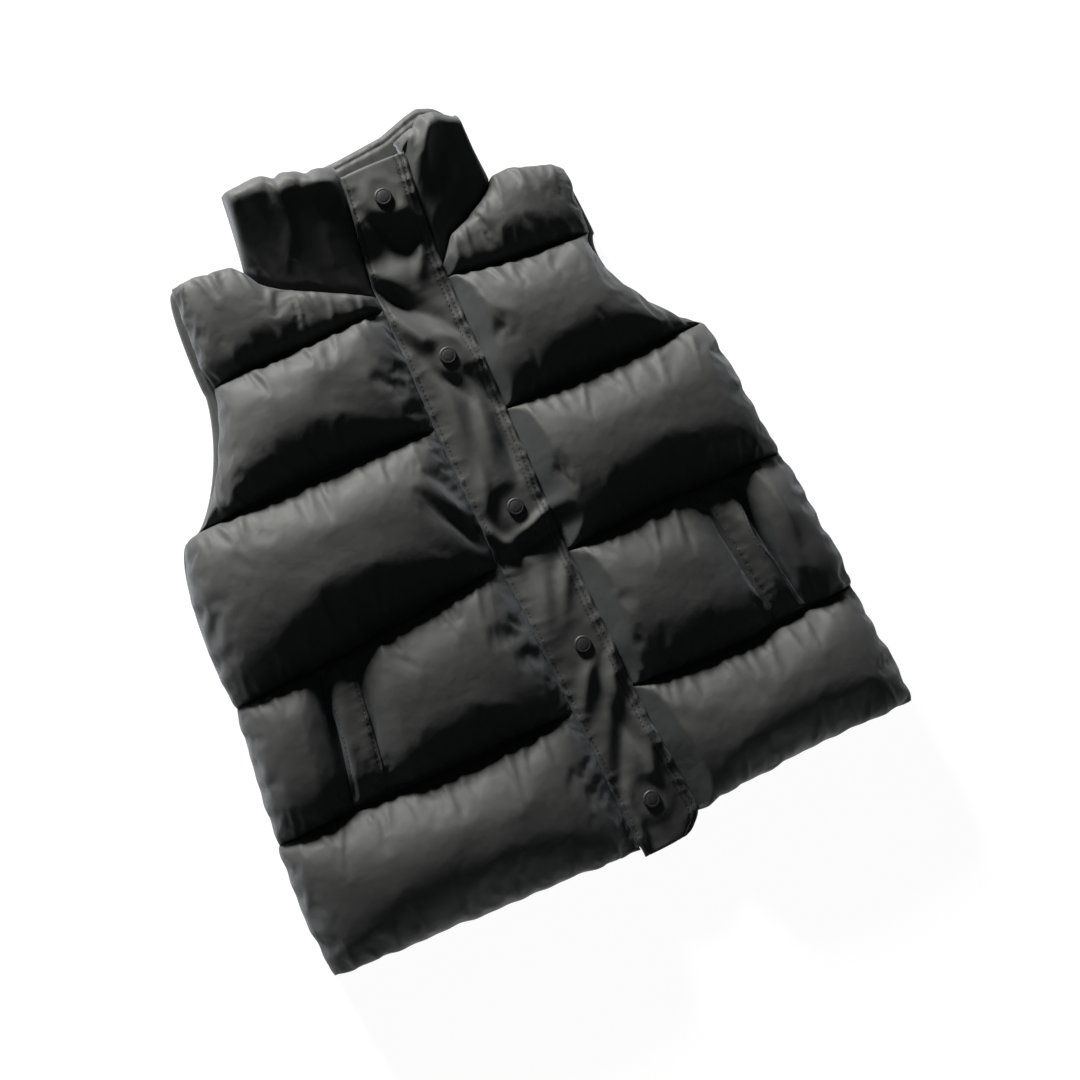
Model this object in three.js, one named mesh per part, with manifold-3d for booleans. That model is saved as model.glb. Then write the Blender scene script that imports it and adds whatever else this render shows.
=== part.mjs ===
// A black quilted puffer vest with a stand collar, laid flat on its back with its snap front closed.
// Millimetres. X runs across the vest to the viewer's right, Y runs up to the collar, Z is up from the floor.
// "Right" and "left" are the wearer's, so the right front lies at negative X.
import * as THREE from "three";
import { mergeVertices } from "three/addons/utils/BufferGeometryUtils.js";
import Module from "manifold-3d";

// Layers
const SEW_GAP = 0.3; // between two pieces at a seam
const BACK_THICK = 20; // the back and the collar's back half, pressed flat under the front
const FRONT_FLOOR = BACK_THICK + SEW_GAP; // where the front layer starts
const SEAM_THICK = 5; // a front panel where a quilting line pinches it
const FLAP_THICK = 2.5; // the placket flap, two layers of shell cloth
const WELT_THICK = 2.6;
const SPARE = 8; // how far a panel's blank reaches below its flat face before it is trimmed

// Quilting: how the filling stands up between two lines
const CROWN_POWER = 2.3; // higher is flatter on top and steeper at the lines
const EDGE_ROUND = 46; // how far in from a side seam the puff reaches its full height
const FLAP_ROUND = 34; // the same beside the placket
const FLAP_EDGE_SHARE = 0.35; // the share of its height that a puff keeps right beside the placket
const GATHER_REACH = 9; // distance from a line at which a gather is tallest
const GATHER_HEIGHT = 2.8;
const GATHER_CLEAR = 12; // gathers fade out over this distance beside the placket
const GATHER_WAVES = [
  { length: 25, share: 1.0, shift: 1.9 },
  { length: 41, share: 0.7, shift: 4.3 },
];

// The snap placket, as a row for each line that crosses it: its two edges, and how high the flap stands
const PLACKET = [
  { y: 313, right: 6, left: 66, z: 45 },
  { y: 281, right: 1, left: 61, z: 47 },
  { y: 212, right: -9, left: 56, z: 37 },
  { y: 193, right: -9, left: 55, z: 33 },
  { y: 136, right: -11, left: 53, z: 39 },
  { y: 74, right: -13, left: 52, z: 36 },
  { y: 4, right: -14, left: 49, z: 41 },
  { y: -63, right: -13, left: 48, z: 30 },
  { y: -128, right: -11, left: 48, z: 38 },
  { y: -205, right: -9, left: 48, z: 33 },
  { y: -262, right: -8, left: 50, z: 36 },
  { y: -333, right: -7, left: 56, z: 29 },
];
const PLACKET_FOOT = { y: -346, right: -5, left: 48 }; // the flap's rounded bottom end
const PLACKET_STEP = 17;
const PLACKET_COLUMNS = [0, 0.18, 0.36, 0.55, 0.74, 0.88, 1]; // the middle three pass under the snaps
const PLACKET_CROWN = 3; // how much the flap bows up between its edges
// The largest folds of the placket, a row for each: its middle, the way it runs in degrees from X, its length
// and width, and how far it stands up, or down where that is below 0
const PLACKET_FOLDS = [
  { x: 30, y: 243, turn: 110, length: 70, width: 13, height: 4 },
  { x: 22, y: 172, turn: -58, length: 95, width: 12, height: -4.5 },
  { x: 4, y: 160, turn: -62, length: 80, width: 11, height: 4 },
  { x: 36, y: 60, turn: 75, length: 90, width: 13, height: 3 },
  { x: 36, y: -38, turn: 20, length: 44, width: 12, height: 5 },
  { x: 12, y: -96, turn: 70, length: 60, width: 12, height: 3 },
  { x: 30, y: -182, turn: 62, length: 70, width: 12, height: 3.5 },
  { x: 10, y: -240, turn: 72, length: 90, width: 12, height: -3 },
  { x: 40, y: -268, turn: 80, length: 80, width: 12, height: 3.5 },
];

// Necklines, from the centre front to the shoulder. In a table for one side x is the distance from the centre
const RIGHT_NECK = [
  { x: 33, y: 219 },
  { x: 59, y: 233 },
  { x: 82, y: 245 },
  { x: 98, y: 258 },
  { x: 106, y: 272 },
];
const LEFT_NECK = [
  { x: 76, y: 231 },
  { x: 97, y: 239 },
  { x: 116, y: 250 },
  { x: 127, y: 258 },
  { x: 133, y: 266 },
];
const NECK_FRONT_Y = 206; // where both necklines run under the placket
const BACK_NECK_Y = 256; // the back neckline at its lowest

// Fronts. shoulder runs from the neckline to the tip. lines has a row for each quilting line: its y beside
// the placket and at the outer edge, how far it sags between them, and how far out it ends. puffs has a row
// for each puff: its height, how far its outer edge bulges past a straight line, and where that is most.
// welt is the pocket's strip: its two edges halfway down, and how far it leans out from there to its end
const RIGHT_FRONT = {
  sign: -1,
  side: "right",
  neck: RIGHT_NECK,
  shoulder: [
    { x: 115, y: 282 },
    { x: 148, y: 286 },
    { x: 168, y: 285 },
  ],
  lines: [
    { at: "yoke", yIn: 193, yOut: 190, sag: 0, out: 173 },
    { at: "chest", yIn: 76, yOut: 80, sag: -4, out: 240 },
    { at: "waist", yIn: -58, yOut: -72, sag: 1, out: 271 },
    { at: "pocket", yIn: -204, yOut: -194, sag: -3, out: 288 },
    { at: "hem", yIn: -341, yOut: -317, sag: 0, out: 293 },
  ],
  puffs: [
    { at: "shoulder", crown: 24, bulge: 3, peak: 0.5 },
    { at: "chest", crown: 34, bulge: -13, peak: 0.6 },
    { at: "waist", crown: 40, bulge: 15, peak: 0.2 },
    { at: "pocket", crown: 37, bulge: 2, peak: 0.5 },
    { at: "hem", crown: 36, bulge: 4, peak: 0.4 },
  ],
  welt: { from: 173, to: 207, slant: 13 },
};
const LEFT_FRONT = {
  sign: 1,
  side: "left",
  neck: LEFT_NECK,
  shoulder: [
    { x: 150, y: 267 },
    { x: 188, y: 255 },
    { x: 200, y: 247 },
  ],
  lines: [
    { at: "yoke", yIn: 200, yOut: 184, sag: 4, out: 195 },
    { at: "chest", yIn: 68, yOut: 66, sag: 0, out: 258 },
    { at: "waist", yIn: -72, yOut: -74, sag: -5, out: 271 },
    { at: "pocket", yIn: -205, yOut: -213, sag: 4, out: 279 },
    { at: "hem", yIn: -334, yOut: -333, sag: -7, out: 286 },
  ],
  puffs: [
    { at: "shoulder", crown: 24, bulge: 1, peak: 0.5 },
    { at: "chest", crown: 36, bulge: -23, peak: 0.5 },
    { at: "waist", crown: 40, bulge: 2, peak: 0.15 },
    { at: "pocket", crown: 37, bulge: 3, peak: 0.6 },
    { at: "hem", crown: 36, bulge: 3, peak: 0.6 },
  ],
  welt: { from: 186, to: 218, slant: 10 },
};
const WELT_DIP = 0.5; // the share of its height that the puff loses under a welt
const WELT_EASE = 26; // the distance over which it gets that back
const WELT_PULL = 60; // how far the panel's own columns lean with the welt
const ACROSS_STEP = 8; // the widest column of a front panel
const PUFF_ROWS = [0, 0.06, 0.15, 0.3, 0.5, 0.7, 0.86, 0.95]; // the grid rows inside each puff
const EDGE_COLUMNS = [0.955, 0.98, 0.993, 1]; // the last columns, close together where the side rounds down

// Back panel: it shows past the fronts only in the armholes
const BACK_PAST_FRONT = [0, 9, 2, 0, 0, 0]; // how far it reaches out past the shoulder and each quilting line
const BACK_ROUND = 9; // how far in its free edge rounds
const BACK_ROUND_DEPTH = 0.36; // the share of its thickness that goes there, at the top and again underneath
const BACK_ROWS = [0, 0.12, 0.35, 0.65, 0.88];
const BACK_HEM_ROWS = [4.96, 4.985, 5];
const BACK_EDGE_COLUMNS = [0, 0.006, 0.018];

// Collar, a padded band that folds back on itself at both shoulders. For each side: how far out its fold is
// at the foot and at the top, and the height of its top edge at even steps from the fold to the placket
const COLLAR_SIDES = {
  right: { foldFoot: 106, foldTop: 93, top: [341, 343, 338, 331, 329] },
  left: { foldFoot: 133, foldTop: 128, top: [328, 339, 341, 333, 329] },
};
const COLLAR_CROWN = 22; // the filling of its front half
const COLLAR_FLAP_SHARE = 0.45; // the share of that beside the placket
const COLLAR_FLAP_ROUND = 26; // and how far from the placket it reaches the full height
const COLLAR_FOLD_SHARE = 0.8; // the share of its height at the fold
const COLLAR_FULLEST = 0.45; // the filling stands highest this share of the way up
// The back half's top edge, which shows above the front half and ends in a peak near the left fold
const COLLAR_BACK_TOP = [
  { x: -98, y: 342 },
  { x: -20, y: 332 },
  { x: 60, y: 337 },
  { x: 104, y: 351 },
  { x: 127, y: 334 },
];
const COLLAR_LEVELS = [206, 212, 226, 250, 281, 300, 313, 321, 329]; // grid rows, as y at the centre front
const COLLAR_FRONT_STEP = 0.11; // the widest column of its front half, as a share of that half
const COLLAR_BACK_STEP = 40;
const FOLD_STEPS = 6;
const FOLD_HOLLOW = 0.5; // the reach of the fold's inner face

// Snaps
const SNAP = { radius: 8, height: 3, rim: 1.1, sides: 16 };
const SNAP_PROFILE = [
  { r: 0, z: 0 },
  { r: SNAP.radius - 0.4, z: 0 },
  { r: SNAP.radius, z: 0.5 },
  { r: SNAP.radius, z: SNAP.height - SNAP.rim },
  { r: SNAP.radius - 0.8, z: SNAP.height - 0.3 },
  { r: SNAP.radius - 2, z: SNAP.height },
  { r: 0, z: SNAP.height },
];
const SNAP_PLACES = [
  { x: 32, y: 281 },
  { x: 25, y: 131 },
  { x: 22, y: -16 },
  { x: 24, y: -152 },
  { x: 21, y: -303 },
];
const SNAP_FLAT = 13; // the flap lies level this far round each snap

const SHELL = new THREE.MeshStandardMaterial({ color: 0x17181a, roughness: 0.42, metalness: 0 });
const SNAP_FINISH = new THREE.MeshStandardMaterial({ color: 0x1c1d1f, roughness: 0.5, metalness: 0.2 });

const wasm = await Module();
wasm.setup();

const lerp = (a, b, t) => a + (b - a) * t;
const clamp = (t) => Math.min(1, Math.max(0, t));
const ease = (t) => clamp(t) ** 2 * (3 - 2 * clamp(t));
const last = (list) => list[list.length - 1];
const bowed = (u) => 4 * u * (1 - u);
const LAST_ROW = 1e-9; // keeps the last grid row inside the last puff

// The value of one column of a table at x, on straight lines between its rows, which may run either way in x.
function along(rows, key, column, x) {
  const up = rows[0][key] < rows[rows.length - 1][key] ? rows : [...rows].reverse();
  if (x <= up[0][key]) return up[0][column];
  for (let i = 1; i < up.length; i++)
    if (x <= up[i][key])
      return lerp(up[i - 1][column], up[i][column], (x - up[i - 1][key]) / (up[i][key] - up[i - 1][key]));
  return up[up.length - 1][column];
}

// A round hump over 0 to 1 that is 1 at its peak and 0 at both ends.
function hump(t, peak) {
  if (t <= 0 || t >= 1) return 0;
  return (t / peak) ** peak * ((1 - t) / (1 - peak)) ** (1 - peak);
}

// How far a puff's outer edge stands past the straight line between its seams: round outward, softer inward.
function sideBulge({ bulge, peak }, t) {
  return bulge * hump(t, peak) ** (bulge < 0 ? 1.5 : 1);
}

// The rise from 0 at an edge to 1 at the given distance in, as a quarter of a rounded square.
function roundIn(distance, reach, power = CROWN_POWER) {
  return (1 - (1 - clamp(distance / reach)) ** power) ** (1 / power);
}

// Values from a to b with the given knots kept and no step longer than the limit.
function steps(knots, limit) {
  const out = [knots[0]];
  for (let i = 1; i < knots.length; i++) {
    const n = Math.max(1, Math.ceil(Math.abs(knots[i] - knots[i - 1]) / limit));
    for (let k = 1; k <= n; k++) out.push(lerp(knots[i - 1], knots[i], k / n));
  }
  return out;
}

// A closed solid between two grids of the same columns and rows, with a rim round all four edges.
function between(columns, rows, outer, inner) {
  const points = [];
  const faces = [];
  const wide = columns.length;
  for (const face of [outer, inner])
    rows.forEach((v, r) => columns.forEach((u, c) => points.push(...face(u, v, c, r))));
  const at = (side, r, c) => side * rows.length * wide + r * wide + c;
  const quad = (a, b, c, d) => faces.push(a, b, c, a, c, d);
  for (let r = 0; r + 1 < rows.length; r++)
    for (let c = 0; c + 1 < wide; c++) {
      quad(at(0, r, c), at(0, r + 1, c), at(0, r + 1, c + 1), at(0, r, c + 1));
      quad(at(1, r, c), at(1, r, c + 1), at(1, r + 1, c + 1), at(1, r + 1, c));
    }
  for (let r = 0; r + 1 < rows.length; r++) {
    quad(at(0, r, 0), at(1, r, 0), at(1, r + 1, 0), at(0, r + 1, 0));
    quad(at(0, r + 1, wide - 1), at(1, r + 1, wide - 1), at(1, r, wide - 1), at(0, r, wide - 1));
  }
  for (let c = 0; c + 1 < wide; c++) {
    const end = rows.length - 1;
    quad(at(0, 0, c + 1), at(1, 0, c + 1), at(1, 0, c), at(0, 0, c));
    quad(at(0, end, c), at(1, end, c), at(1, end, c + 1), at(0, end, c + 1));
  }
  return facingOut(points, faces);
}

// A geometry of these points and faces, turned so that its volume is positive.
function facingOut(points, faces) {
  const p = faces.map((i) => new THREE.Vector3(points[3 * i], points[3 * i + 1], points[3 * i + 2]));
  let volume = 0;
  for (let i = 0; i < p.length; i += 3) volume += p[i].dot(p[i + 1].clone().cross(p[i + 2]));
  if (volume < 0) faces.reverse();
  return new THREE.BufferGeometry()
    .setAttribute("position", new THREE.Float32BufferAttribute(points, 3))
    .setIndex(faces);
}

// The geometry cut off flat where the front layer starts.
function trimmed(geometry) {
  const size = 2000;
  const below = new THREE.BoxGeometry(size, size, size).translate(0, 0, FRONT_FLOOR - size / 2);
  const mesh = toManifold(geometry).subtract(toManifold(below)).getMesh();
  return new THREE.BufferGeometry()
    .setAttribute("position", new THREE.BufferAttribute(new Float32Array(mesh.vertProperties), 3))
    .setIndex(new THREE.BufferAttribute(new Uint32Array(mesh.triVerts), 1));
}

function toManifold(geometry) {
  const bare = geometry.clone();
  for (const name of Object.keys(bare.attributes)) if (name !== "position") bare.deleteAttribute(name);
  const merged = mergeVertices(bare, 1e-4);
  return new wasm.Manifold(
    new wasm.Mesh({
      numProp: 3,
      vertProperties: new Float32Array(merged.attributes.position.array),
      triVerts: new Uint32Array(merged.index.array),
    }),
  );
}

// How far a gather lifts the cloth: alongLine runs with the quilting line, and off is the distance from it.
function gather(alongLine, off, seed) {
  const rise = (off / GATHER_REACH) * Math.exp(1 - off / GATHER_REACH);
  let wave = 0;
  for (const { length, share, shift } of GATHER_WAVES)
    wave += share * Math.cos((2 * Math.PI * alongLine) / length + shift * seed);
  return GATHER_HEIGHT * rise * wave;
}

// Front panels. A front is a stack of five puffs between the top edge, four quilting lines and the hem.
// u runs from the placket, 0, to the outer edge, 1, and v counts the puffs from the top, 0 to 5.
function frontShape(front) {
  const { sign, neck, shoulder, lines, puffs, welt, side } = front;
  const flapEdge = (y) => sign * along(PLACKET, "y", side, y) + SEW_GAP;
  const topKnots = [{ x: flapEdge(NECK_FRONT_Y), y: NECK_FRONT_Y }, ...neck, ...shoulder];
  const tip = last(shoulder);
  const top = (u) => {
    const x = lerp(topKnots[0].x, tip.x, u);
    return { x, y: along(topKnots, "x", "y", x) - SEW_GAP };
  };
  const line = (i, u) => {
    const { yIn, yOut, sag, out } = lines[i];
    return { x: lerp(flapEdge(yIn), out, u), y: lerp(yIn, yOut, u) - sag * bowed(u) };
  };
  const upper = (k, u) => (k === 0 ? top(u) : line(k - 1, u));
  const pocket = puffs.findIndex((p) => p.at === "pocket");
  const weltMiddle = (welt.from + welt.to) / 2;

  // The panel in plan: where a point of the cloth lies over the floor.
  const plan = (u, v) => {
    const k = Math.min(puffs.length - 1, Math.floor(v));
    const t = v - k;
    const a = upper(k, u);
    const b = line(k, u);
    const y = lerp(a.y, b.y, t);
    let x = u === 0 ? flapEdge(y) : lerp(a.x, b.x, t) + sideBulge(puffs[k], t) * u ** 4;
    if (k === pocket) {
      const near = Math.exp(-(((x - weltMiddle) / WELT_PULL) ** 2)) * clamp((1 - u) * 5) * clamp(u * 5);
      x += welt.slant * (2 * t - 1) * near * hump(t, 0.5) ** 0.15;
    }
    return { x, y, t, k };
  };

  // The height of the outer face over the floor.
  const height = (u, v) => {
    const { x, y, t, k } = plan(u, v);
    const a = upper(k, u);
    const b = line(k, u);
    const tall = Math.abs(a.y - b.y);
    const fromFlap = x - flapEdge(y);
    const sideRound = roundIn(lerp(upper(k, 1).x, line(k, 1).x, t) * (1 - u), EDGE_ROUND);
    let puff = puffs[k].crown * roundIn(0.5 - Math.abs(t - 0.5), 0.5);
    puff *= lerp(FLAP_EDGE_SHARE, 1, roundIn(fromFlap, FLAP_ROUND, 2)) * sideRound;
    if (k === pocket) {
      const offWelt = Math.abs(x - weltMiddle - welt.slant * (2 * t - 1)) - (welt.to - welt.from) / 2;
      puff *= 1 - WELT_DIP * (1 - ease(offWelt / WELT_EASE));
    }
    const gathers = gather(x, t * tall, 2 * k) + gather(x, (1 - t) * tall, 2 * k + 1);
    return FRONT_FLOOR + SEAM_THICK + puff + gathers * sideRound * clamp(fromFlap / GATHER_CLEAR);
  };

  const knots = topKnots.map(({ x }) => (x - topKnots[0].x) / (tip.x - topKnots[0].x));
  const widest = ACROSS_STEP / (last(lines).out - topKnots[0].x);
  const columns = [...steps(knots, widest).filter((u) => u < EDGE_COLUMNS[0] - widest / 3), ...EDGE_COLUMNS];
  const rows = puffs.flatMap((_, k) => PUFF_ROWS.map((t) => k + t)).concat(puffs.length - LAST_ROW);
  return { plan, height, columns, rows, sign, pocket, welt };
}

function frontPanel(shape) {
  const { plan, height, columns, rows, sign } = shape;
  const face = (z) => (u, v) => {
    const { x, y } = plan(u, v);
    return [sign * x, y, z(u, v)];
  };
  return trimmed(between(columns, rows, face(height), face(() => FRONT_FLOOR - SPARE)));
}

// A pocket welt: a folded strip sewn over the pocket mouth, laid on the panel's own grid points.
function weltStrip(shape) {
  const { plan, height, columns, rows, sign, pocket, welt } = shape;
  const middle = pocket + 0.5;
  const off = (u, x) => Math.abs(plan(u, middle).x - x);
  const nearest = (x) => columns.reduce((best, u) => (off(u, x) < off(best, x) ? u : best));
  const across = columns.filter((u) => u >= nearest(welt.from) && u <= nearest(welt.to));
  const down = rows.filter((v) => v >= pocket && v <= pocket + 1);
  const lifted = (lift) => (u, v, c) => {
    const { x, y } = plan(u, v);
    const soft = lift * (c === 0 || c === across.length - 1 ? 0.75 : 1);
    return [sign * x, y, height(u, v) + SEW_GAP * 2 + soft];
  };
  return between(across, down, lifted(WELT_THICK), lifted(0));
}

// Placket. Both strips share one grid, so that the flap lies on the under-placket all over.
const snapRows = SNAP_PLACES.flatMap(({ y }) => [y + SNAP.radius + 1, y - SNAP.radius - 1]);
const placketKnots = [...PLACKET.map(({ y }) => y), ...snapRows, PLACKET_FOOT.y].sort((a, b) => b - a);
const placketRows = steps(placketKnots, PLACKET_STEP).filter((y, i, all) => i === 0 || all[i - 1] - y > 2);

// How far all the folds of the placket lift it at a point, each an elongated round ridge or trough.
function foldHeight(x, y) {
  let sum = 0;
  for (const fold of PLACKET_FOLDS) {
    const way = THREE.MathUtils.degToRad(fold.turn);
    const [dx, dy] = [x - fold.x, y - fold.y];
    const lengthwise = (dx * Math.cos(way) + dy * Math.sin(way)) / (fold.length / 2);
    const across = (dy * Math.cos(way) - dx * Math.sin(way)) / fold.width;
    sum += fold.height * Math.exp(-(lengthwise ** 2) - across ** 2);
  }
  return sum;
}

function placketPoint(u, y) {
  const foot = ease((last(PLACKET).y - y) / (last(PLACKET).y - PLACKET_FOOT.y));
  const right = lerp(along(PLACKET, "y", "right", y), PLACKET_FOOT.right, foot);
  const left = lerp(along(PLACKET, "y", "left", y), PLACKET_FOOT.left, foot);
  const x = lerp(right, left, u);
  let z = along(PLACKET, "y", "z", y) + PLACKET_CROWN * bowed(u) + foldHeight(x, y);
  for (const snap of SNAP_PLACES) {
    const level = along(PLACKET, "y", "z", snap.y) + PLACKET_CROWN;
    z = lerp(level, z, ease((Math.hypot(x - snap.x, y - snap.y) - SNAP_FLAT) / SNAP_FLAT));
  }
  return [x, y, z];
}

function placketFlap() {
  const lowered = (drop) => (u, y) => {
    const [x, , z] = placketPoint(u, y);
    return [x, y, z - drop];
  };
  return between(PLACKET_COLUMNS, placketRows, lowered(0), lowered(FLAP_THICK));
}

function underPlacket() {
  const inset = (u, y) => {
    const [x, , z] = placketPoint(u, y);
    return [x, y, z - FLAP_THICK - SEW_GAP];
  };
  const base = (u, y) => [placketPoint(u, y)[0], y, FRONT_FLOOR - SPARE];
  return trimmed(between(PLACKET_COLUMNS, placketRows, inset, base));
}

// Snap cap: a low dome with a turned-down rim, on the level spot of the flap.
function snapCap({ x, y }) {
  const profile = SNAP_PROFILE.map(({ r, z }) => new THREE.Vector2(r, z));
  const cap = new THREE.LatheGeometry(profile, SNAP.sides);
  const level = along(PLACKET, "y", "z", y) + PLACKET_CROWN;
  return cap.rotateX(Math.PI / 2).translate(x, y, level + SEW_GAP);
}

// The back neckline, from the right shoulder to the left, ending where the front necklines do.
const backNeck = [
  { x: -last(RIGHT_NECK).x, y: last(RIGHT_NECK).y },
  { x: -60, y: BACK_NECK_Y + 4 },
  { x: 12, y: BACK_NECK_Y },
  { x: 80, y: BACK_NECK_Y + 3 },
  { x: last(LEFT_NECK).x, y: last(LEFT_NECK).y },
];

// Back panel: one flat pad under everything, out to the same side seams and hem as the fronts.
// u runs from the right side, 0, to the left, 1, and v from the top to the hem as on the fronts.
function backPanel() {
  const side = (front, v) => {
    const { sign, shoulder, lines, puffs } = front;
    const knots = [last(shoulder), ...lines.map(({ yOut, out }) => ({ x: out, y: yOut }))];
    const k = Math.min(puffs.length - 1, Math.floor(v));
    const t = v - k;
    const past = lerp(BACK_PAST_FRONT[k], BACK_PAST_FRONT[k + 1], t);
    const out = lerp(knots[k].x, knots[k + 1].x, t) + sideBulge(puffs[k], t) + past;
    return { x: sign * out, y: lerp(knots[k].y, knots[k + 1].y, t) };
  };
  const hem = (x) => {
    const { yIn, yOut, sag, out } = last((x < 0 ? RIGHT_FRONT : LEFT_FRONT).lines);
    const across = clamp(Math.abs(x) / out);
    return lerp(yIn, yOut, across) - sag * bowed(across);
  };
  const rightShoulder = RIGHT_FRONT.shoulder.map(({ x, y }) => ({ x: -x, y })).reverse();
  const topKnots = [...rightShoulder, ...backNeck, ...LEFT_FRONT.shoulder];
  const width = last(topKnots).x - topKnots[0].x;
  const hemPuff = RIGHT_FRONT.puffs.length - 1;
  const tall = RIGHT_FRONT.lines[hemPuff - 1].yIn - RIGHT_FRONT.lines[hemPuff].yIn;

  const face = (under) => (u, v) => {
    const a = side(RIGHT_FRONT, v);
    const b = side(LEFT_FRONT, v);
    const x = lerp(a.x, b.x, u);
    const quilted = lerp(lerp(a.y, b.y, u), hem(x), clamp(v - hemPuff));
    const y = lerp(along(topKnots, "x", "y", topKnots[0].x + width * u) - SEW_GAP, quilted, clamp(v));
    const fromEdge = Math.min(Math.min(u, 1 - u) * (b.x - a.x), (hemPuff + 1 - v) * tall);
    const rounded = BACK_THICK * BACK_ROUND_DEPTH * (1 - roundIn(fromEdge, BACK_ROUND, 2));
    return [x, y, under ? rounded : BACK_THICK - rounded];
  };

  const inside = steps(topKnots.slice(1, -1).map(({ x }) => (x - topKnots[0].x) / width), 0.2);
  const columns = [...BACK_EDGE_COLUMNS, ...inside, ...BACK_EDGE_COLUMNS.map((u) => 1 - u).reverse()];
  const quiltRows = RIGHT_FRONT.puffs.flatMap((_, k) => BACK_ROWS.map((t) => k + t));
  const rows = [...quiltRows, ...BACK_HEM_ROWS].map((v) => Math.min(v, hemPuff + 1 - LAST_ROW));
  return between(columns, rows, face(false), face(true));
}

// Collar. The band runs from the placket's right edge round the right fold, along the back, round the left
// fold and back to the placket. Each column is a function of v, from the neckline, 0, to the top edge, 1.
function collarHalf({ sign, neck, side }) {
  const spec = COLLAR_SIDES[side];
  const flapEdge = (y) => sign * along(PLACKET, "y", side, y) + SEW_GAP;
  const foot = [{ x: flapEdge(NECK_FRONT_Y), y: NECK_FRONT_Y }, ...neck];
  const runEnd = foot[foot.length - 2].x; // where the band starts to turn under
  const reach = spec.foldFoot - runEnd;
  const topEdge = spec.top.map((y, i) => ({ f: 1 - i / (spec.top.length - 1), y }));

  const front = (f) => (v) => {
    const xFoot = lerp(foot[0].x, runEnd, f);
    const y = lerp(along(foot, "x", "y", xFoot) + SEW_GAP, along(topEdge, "f", "y", f), v);
    const flap = flapEdge(lerp(foot[0].y, last(spec.top), v));
    const x = xFoot + (flap - foot[0].x) * (1 - f) + (spec.foldTop - spec.foldFoot) * v * f;
    const upright = roundIn(0.5 - Math.abs(v - COLLAR_FULLEST) * 0.9, 0.5);
    const beside = lerp(COLLAR_FLAP_SHARE, 1, roundIn(x - flap, COLLAR_FLAP_ROUND, 2));
    const puff = COLLAR_CROWN * upright * beside * lerp(1, COLLAR_FOLD_SHARE, f ** 4);
    return { outer: [sign * x, y, FRONT_FLOOR + SEAM_THICK + puff], inner: [sign * x, y, FRONT_FLOOR] };
  };

  const end = front(1);
  const middle = FRONT_FLOOR - SEW_GAP / 2;
  const fold = (i) => (v) => {
    const turn = (Math.PI * i) / FOLD_STEPS;
    const under = turn > Math.PI / 2;
    const { outer, inner } = end(v);
    const z = middle + Math.cos(turn) * (under ? middle : outer[2] - middle);
    const footX = runEnd + reach * Math.sin(turn);
    const yFoot = under ? along(backNeck, "x", "y", sign * footX) : along(foot, "x", "y", footX);
    const yTop = lerp(spec.top[0], along(COLLAR_BACK_TOP, "x", "y", sign * runEnd), turn / Math.PI);
    const y = lerp(yFoot + SEW_GAP, yTop, v);
    return {
      outer: [outer[0] + sign * reach * Math.sin(turn), y, z],
      inner: [inner[0] + sign * FOLD_HOLLOW * Math.sin(turn), y, middle + (SEW_GAP / 2) * Math.cos(turn)],
    };
  };

  const bends = foot.slice(0, -1).map(({ x }) => (x - foot[0].x) / (runEnd - foot[0].x));
  const turns = Array.from({ length: FOLD_STEPS - 1 }, (_, i) => i + 1);
  return { columns: [...steps(bends, COLLAR_FRONT_STEP).map(front), ...turns.map(fold)], end, runEnd };
}

function collarBand() {
  const right = collarHalf(RIGHT_FRONT);
  const left = collarHalf(LEFT_FRONT);
  const ends = [-right.runEnd, left.runEnd];
  const bends = [...backNeck, ...COLLAR_BACK_TOP].map(({ x }) => x).filter((x) => x > ends[0] && x < ends[1]);
  const back = (xFoot) => (v) => {
    const across = (xFoot - ends[0]) / (ends[1] - ends[0]);
    const x = lerp(right.end(v).outer[0], left.end(v).outer[0], across);
    const y = lerp(along(backNeck, "x", "y", xFoot) + SEW_GAP, along(COLLAR_BACK_TOP, "x", "y", xFoot), v);
    return { outer: [x, y, 0], inner: [x, y, BACK_THICK] };
  };
  const backColumns = steps([ends[0], ...bends.sort((a, b) => a - b), ends[1]], COLLAR_BACK_STEP).map(back);
  const columns = [...right.columns, ...backColumns, ...left.columns.reverse()];
  const rows = COLLAR_LEVELS.map((y) => (y - COLLAR_LEVELS[0]) / (last(COLLAR_LEVELS) - COLLAR_LEVELS[0]));
  const face = (which) => (c, v) => columns[c](v)[which];
  return between([...columns.keys()], rows, face("outer"), face("inner"));
}

const vest = new THREE.Group();

function add(name, geometry, material = SHELL) {
  const mesh = new THREE.Mesh(geometry, material);
  mesh.name = name;
  vest.add(mesh);
}

add("back_panel", backPanel());
for (const front of [RIGHT_FRONT, LEFT_FRONT]) {
  const shape = frontShape(front);
  add("front_" + front.side, frontPanel(shape));
  add("pocket_welt_" + front.side, weltStrip(shape));
}
add("collar", collarBand());
add("under_placket", underPlacket());
add("placket", placketFlap());
SNAP_PLACES.forEach((place, i) => add("snap_" + (i + 1), snapCap(place), SNAP_FINISH));

// The origin is on the floor, under the middle of the vest's outline.
const middle = new THREE.Box3().setFromObject(vest).getCenter(new THREE.Vector3());
vest.position.set(-middle.x, -middle.y, 0);

export default vest;
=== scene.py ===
import math

import bpy
import numpy as np
from mathutils import Matrix, Vector


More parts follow.
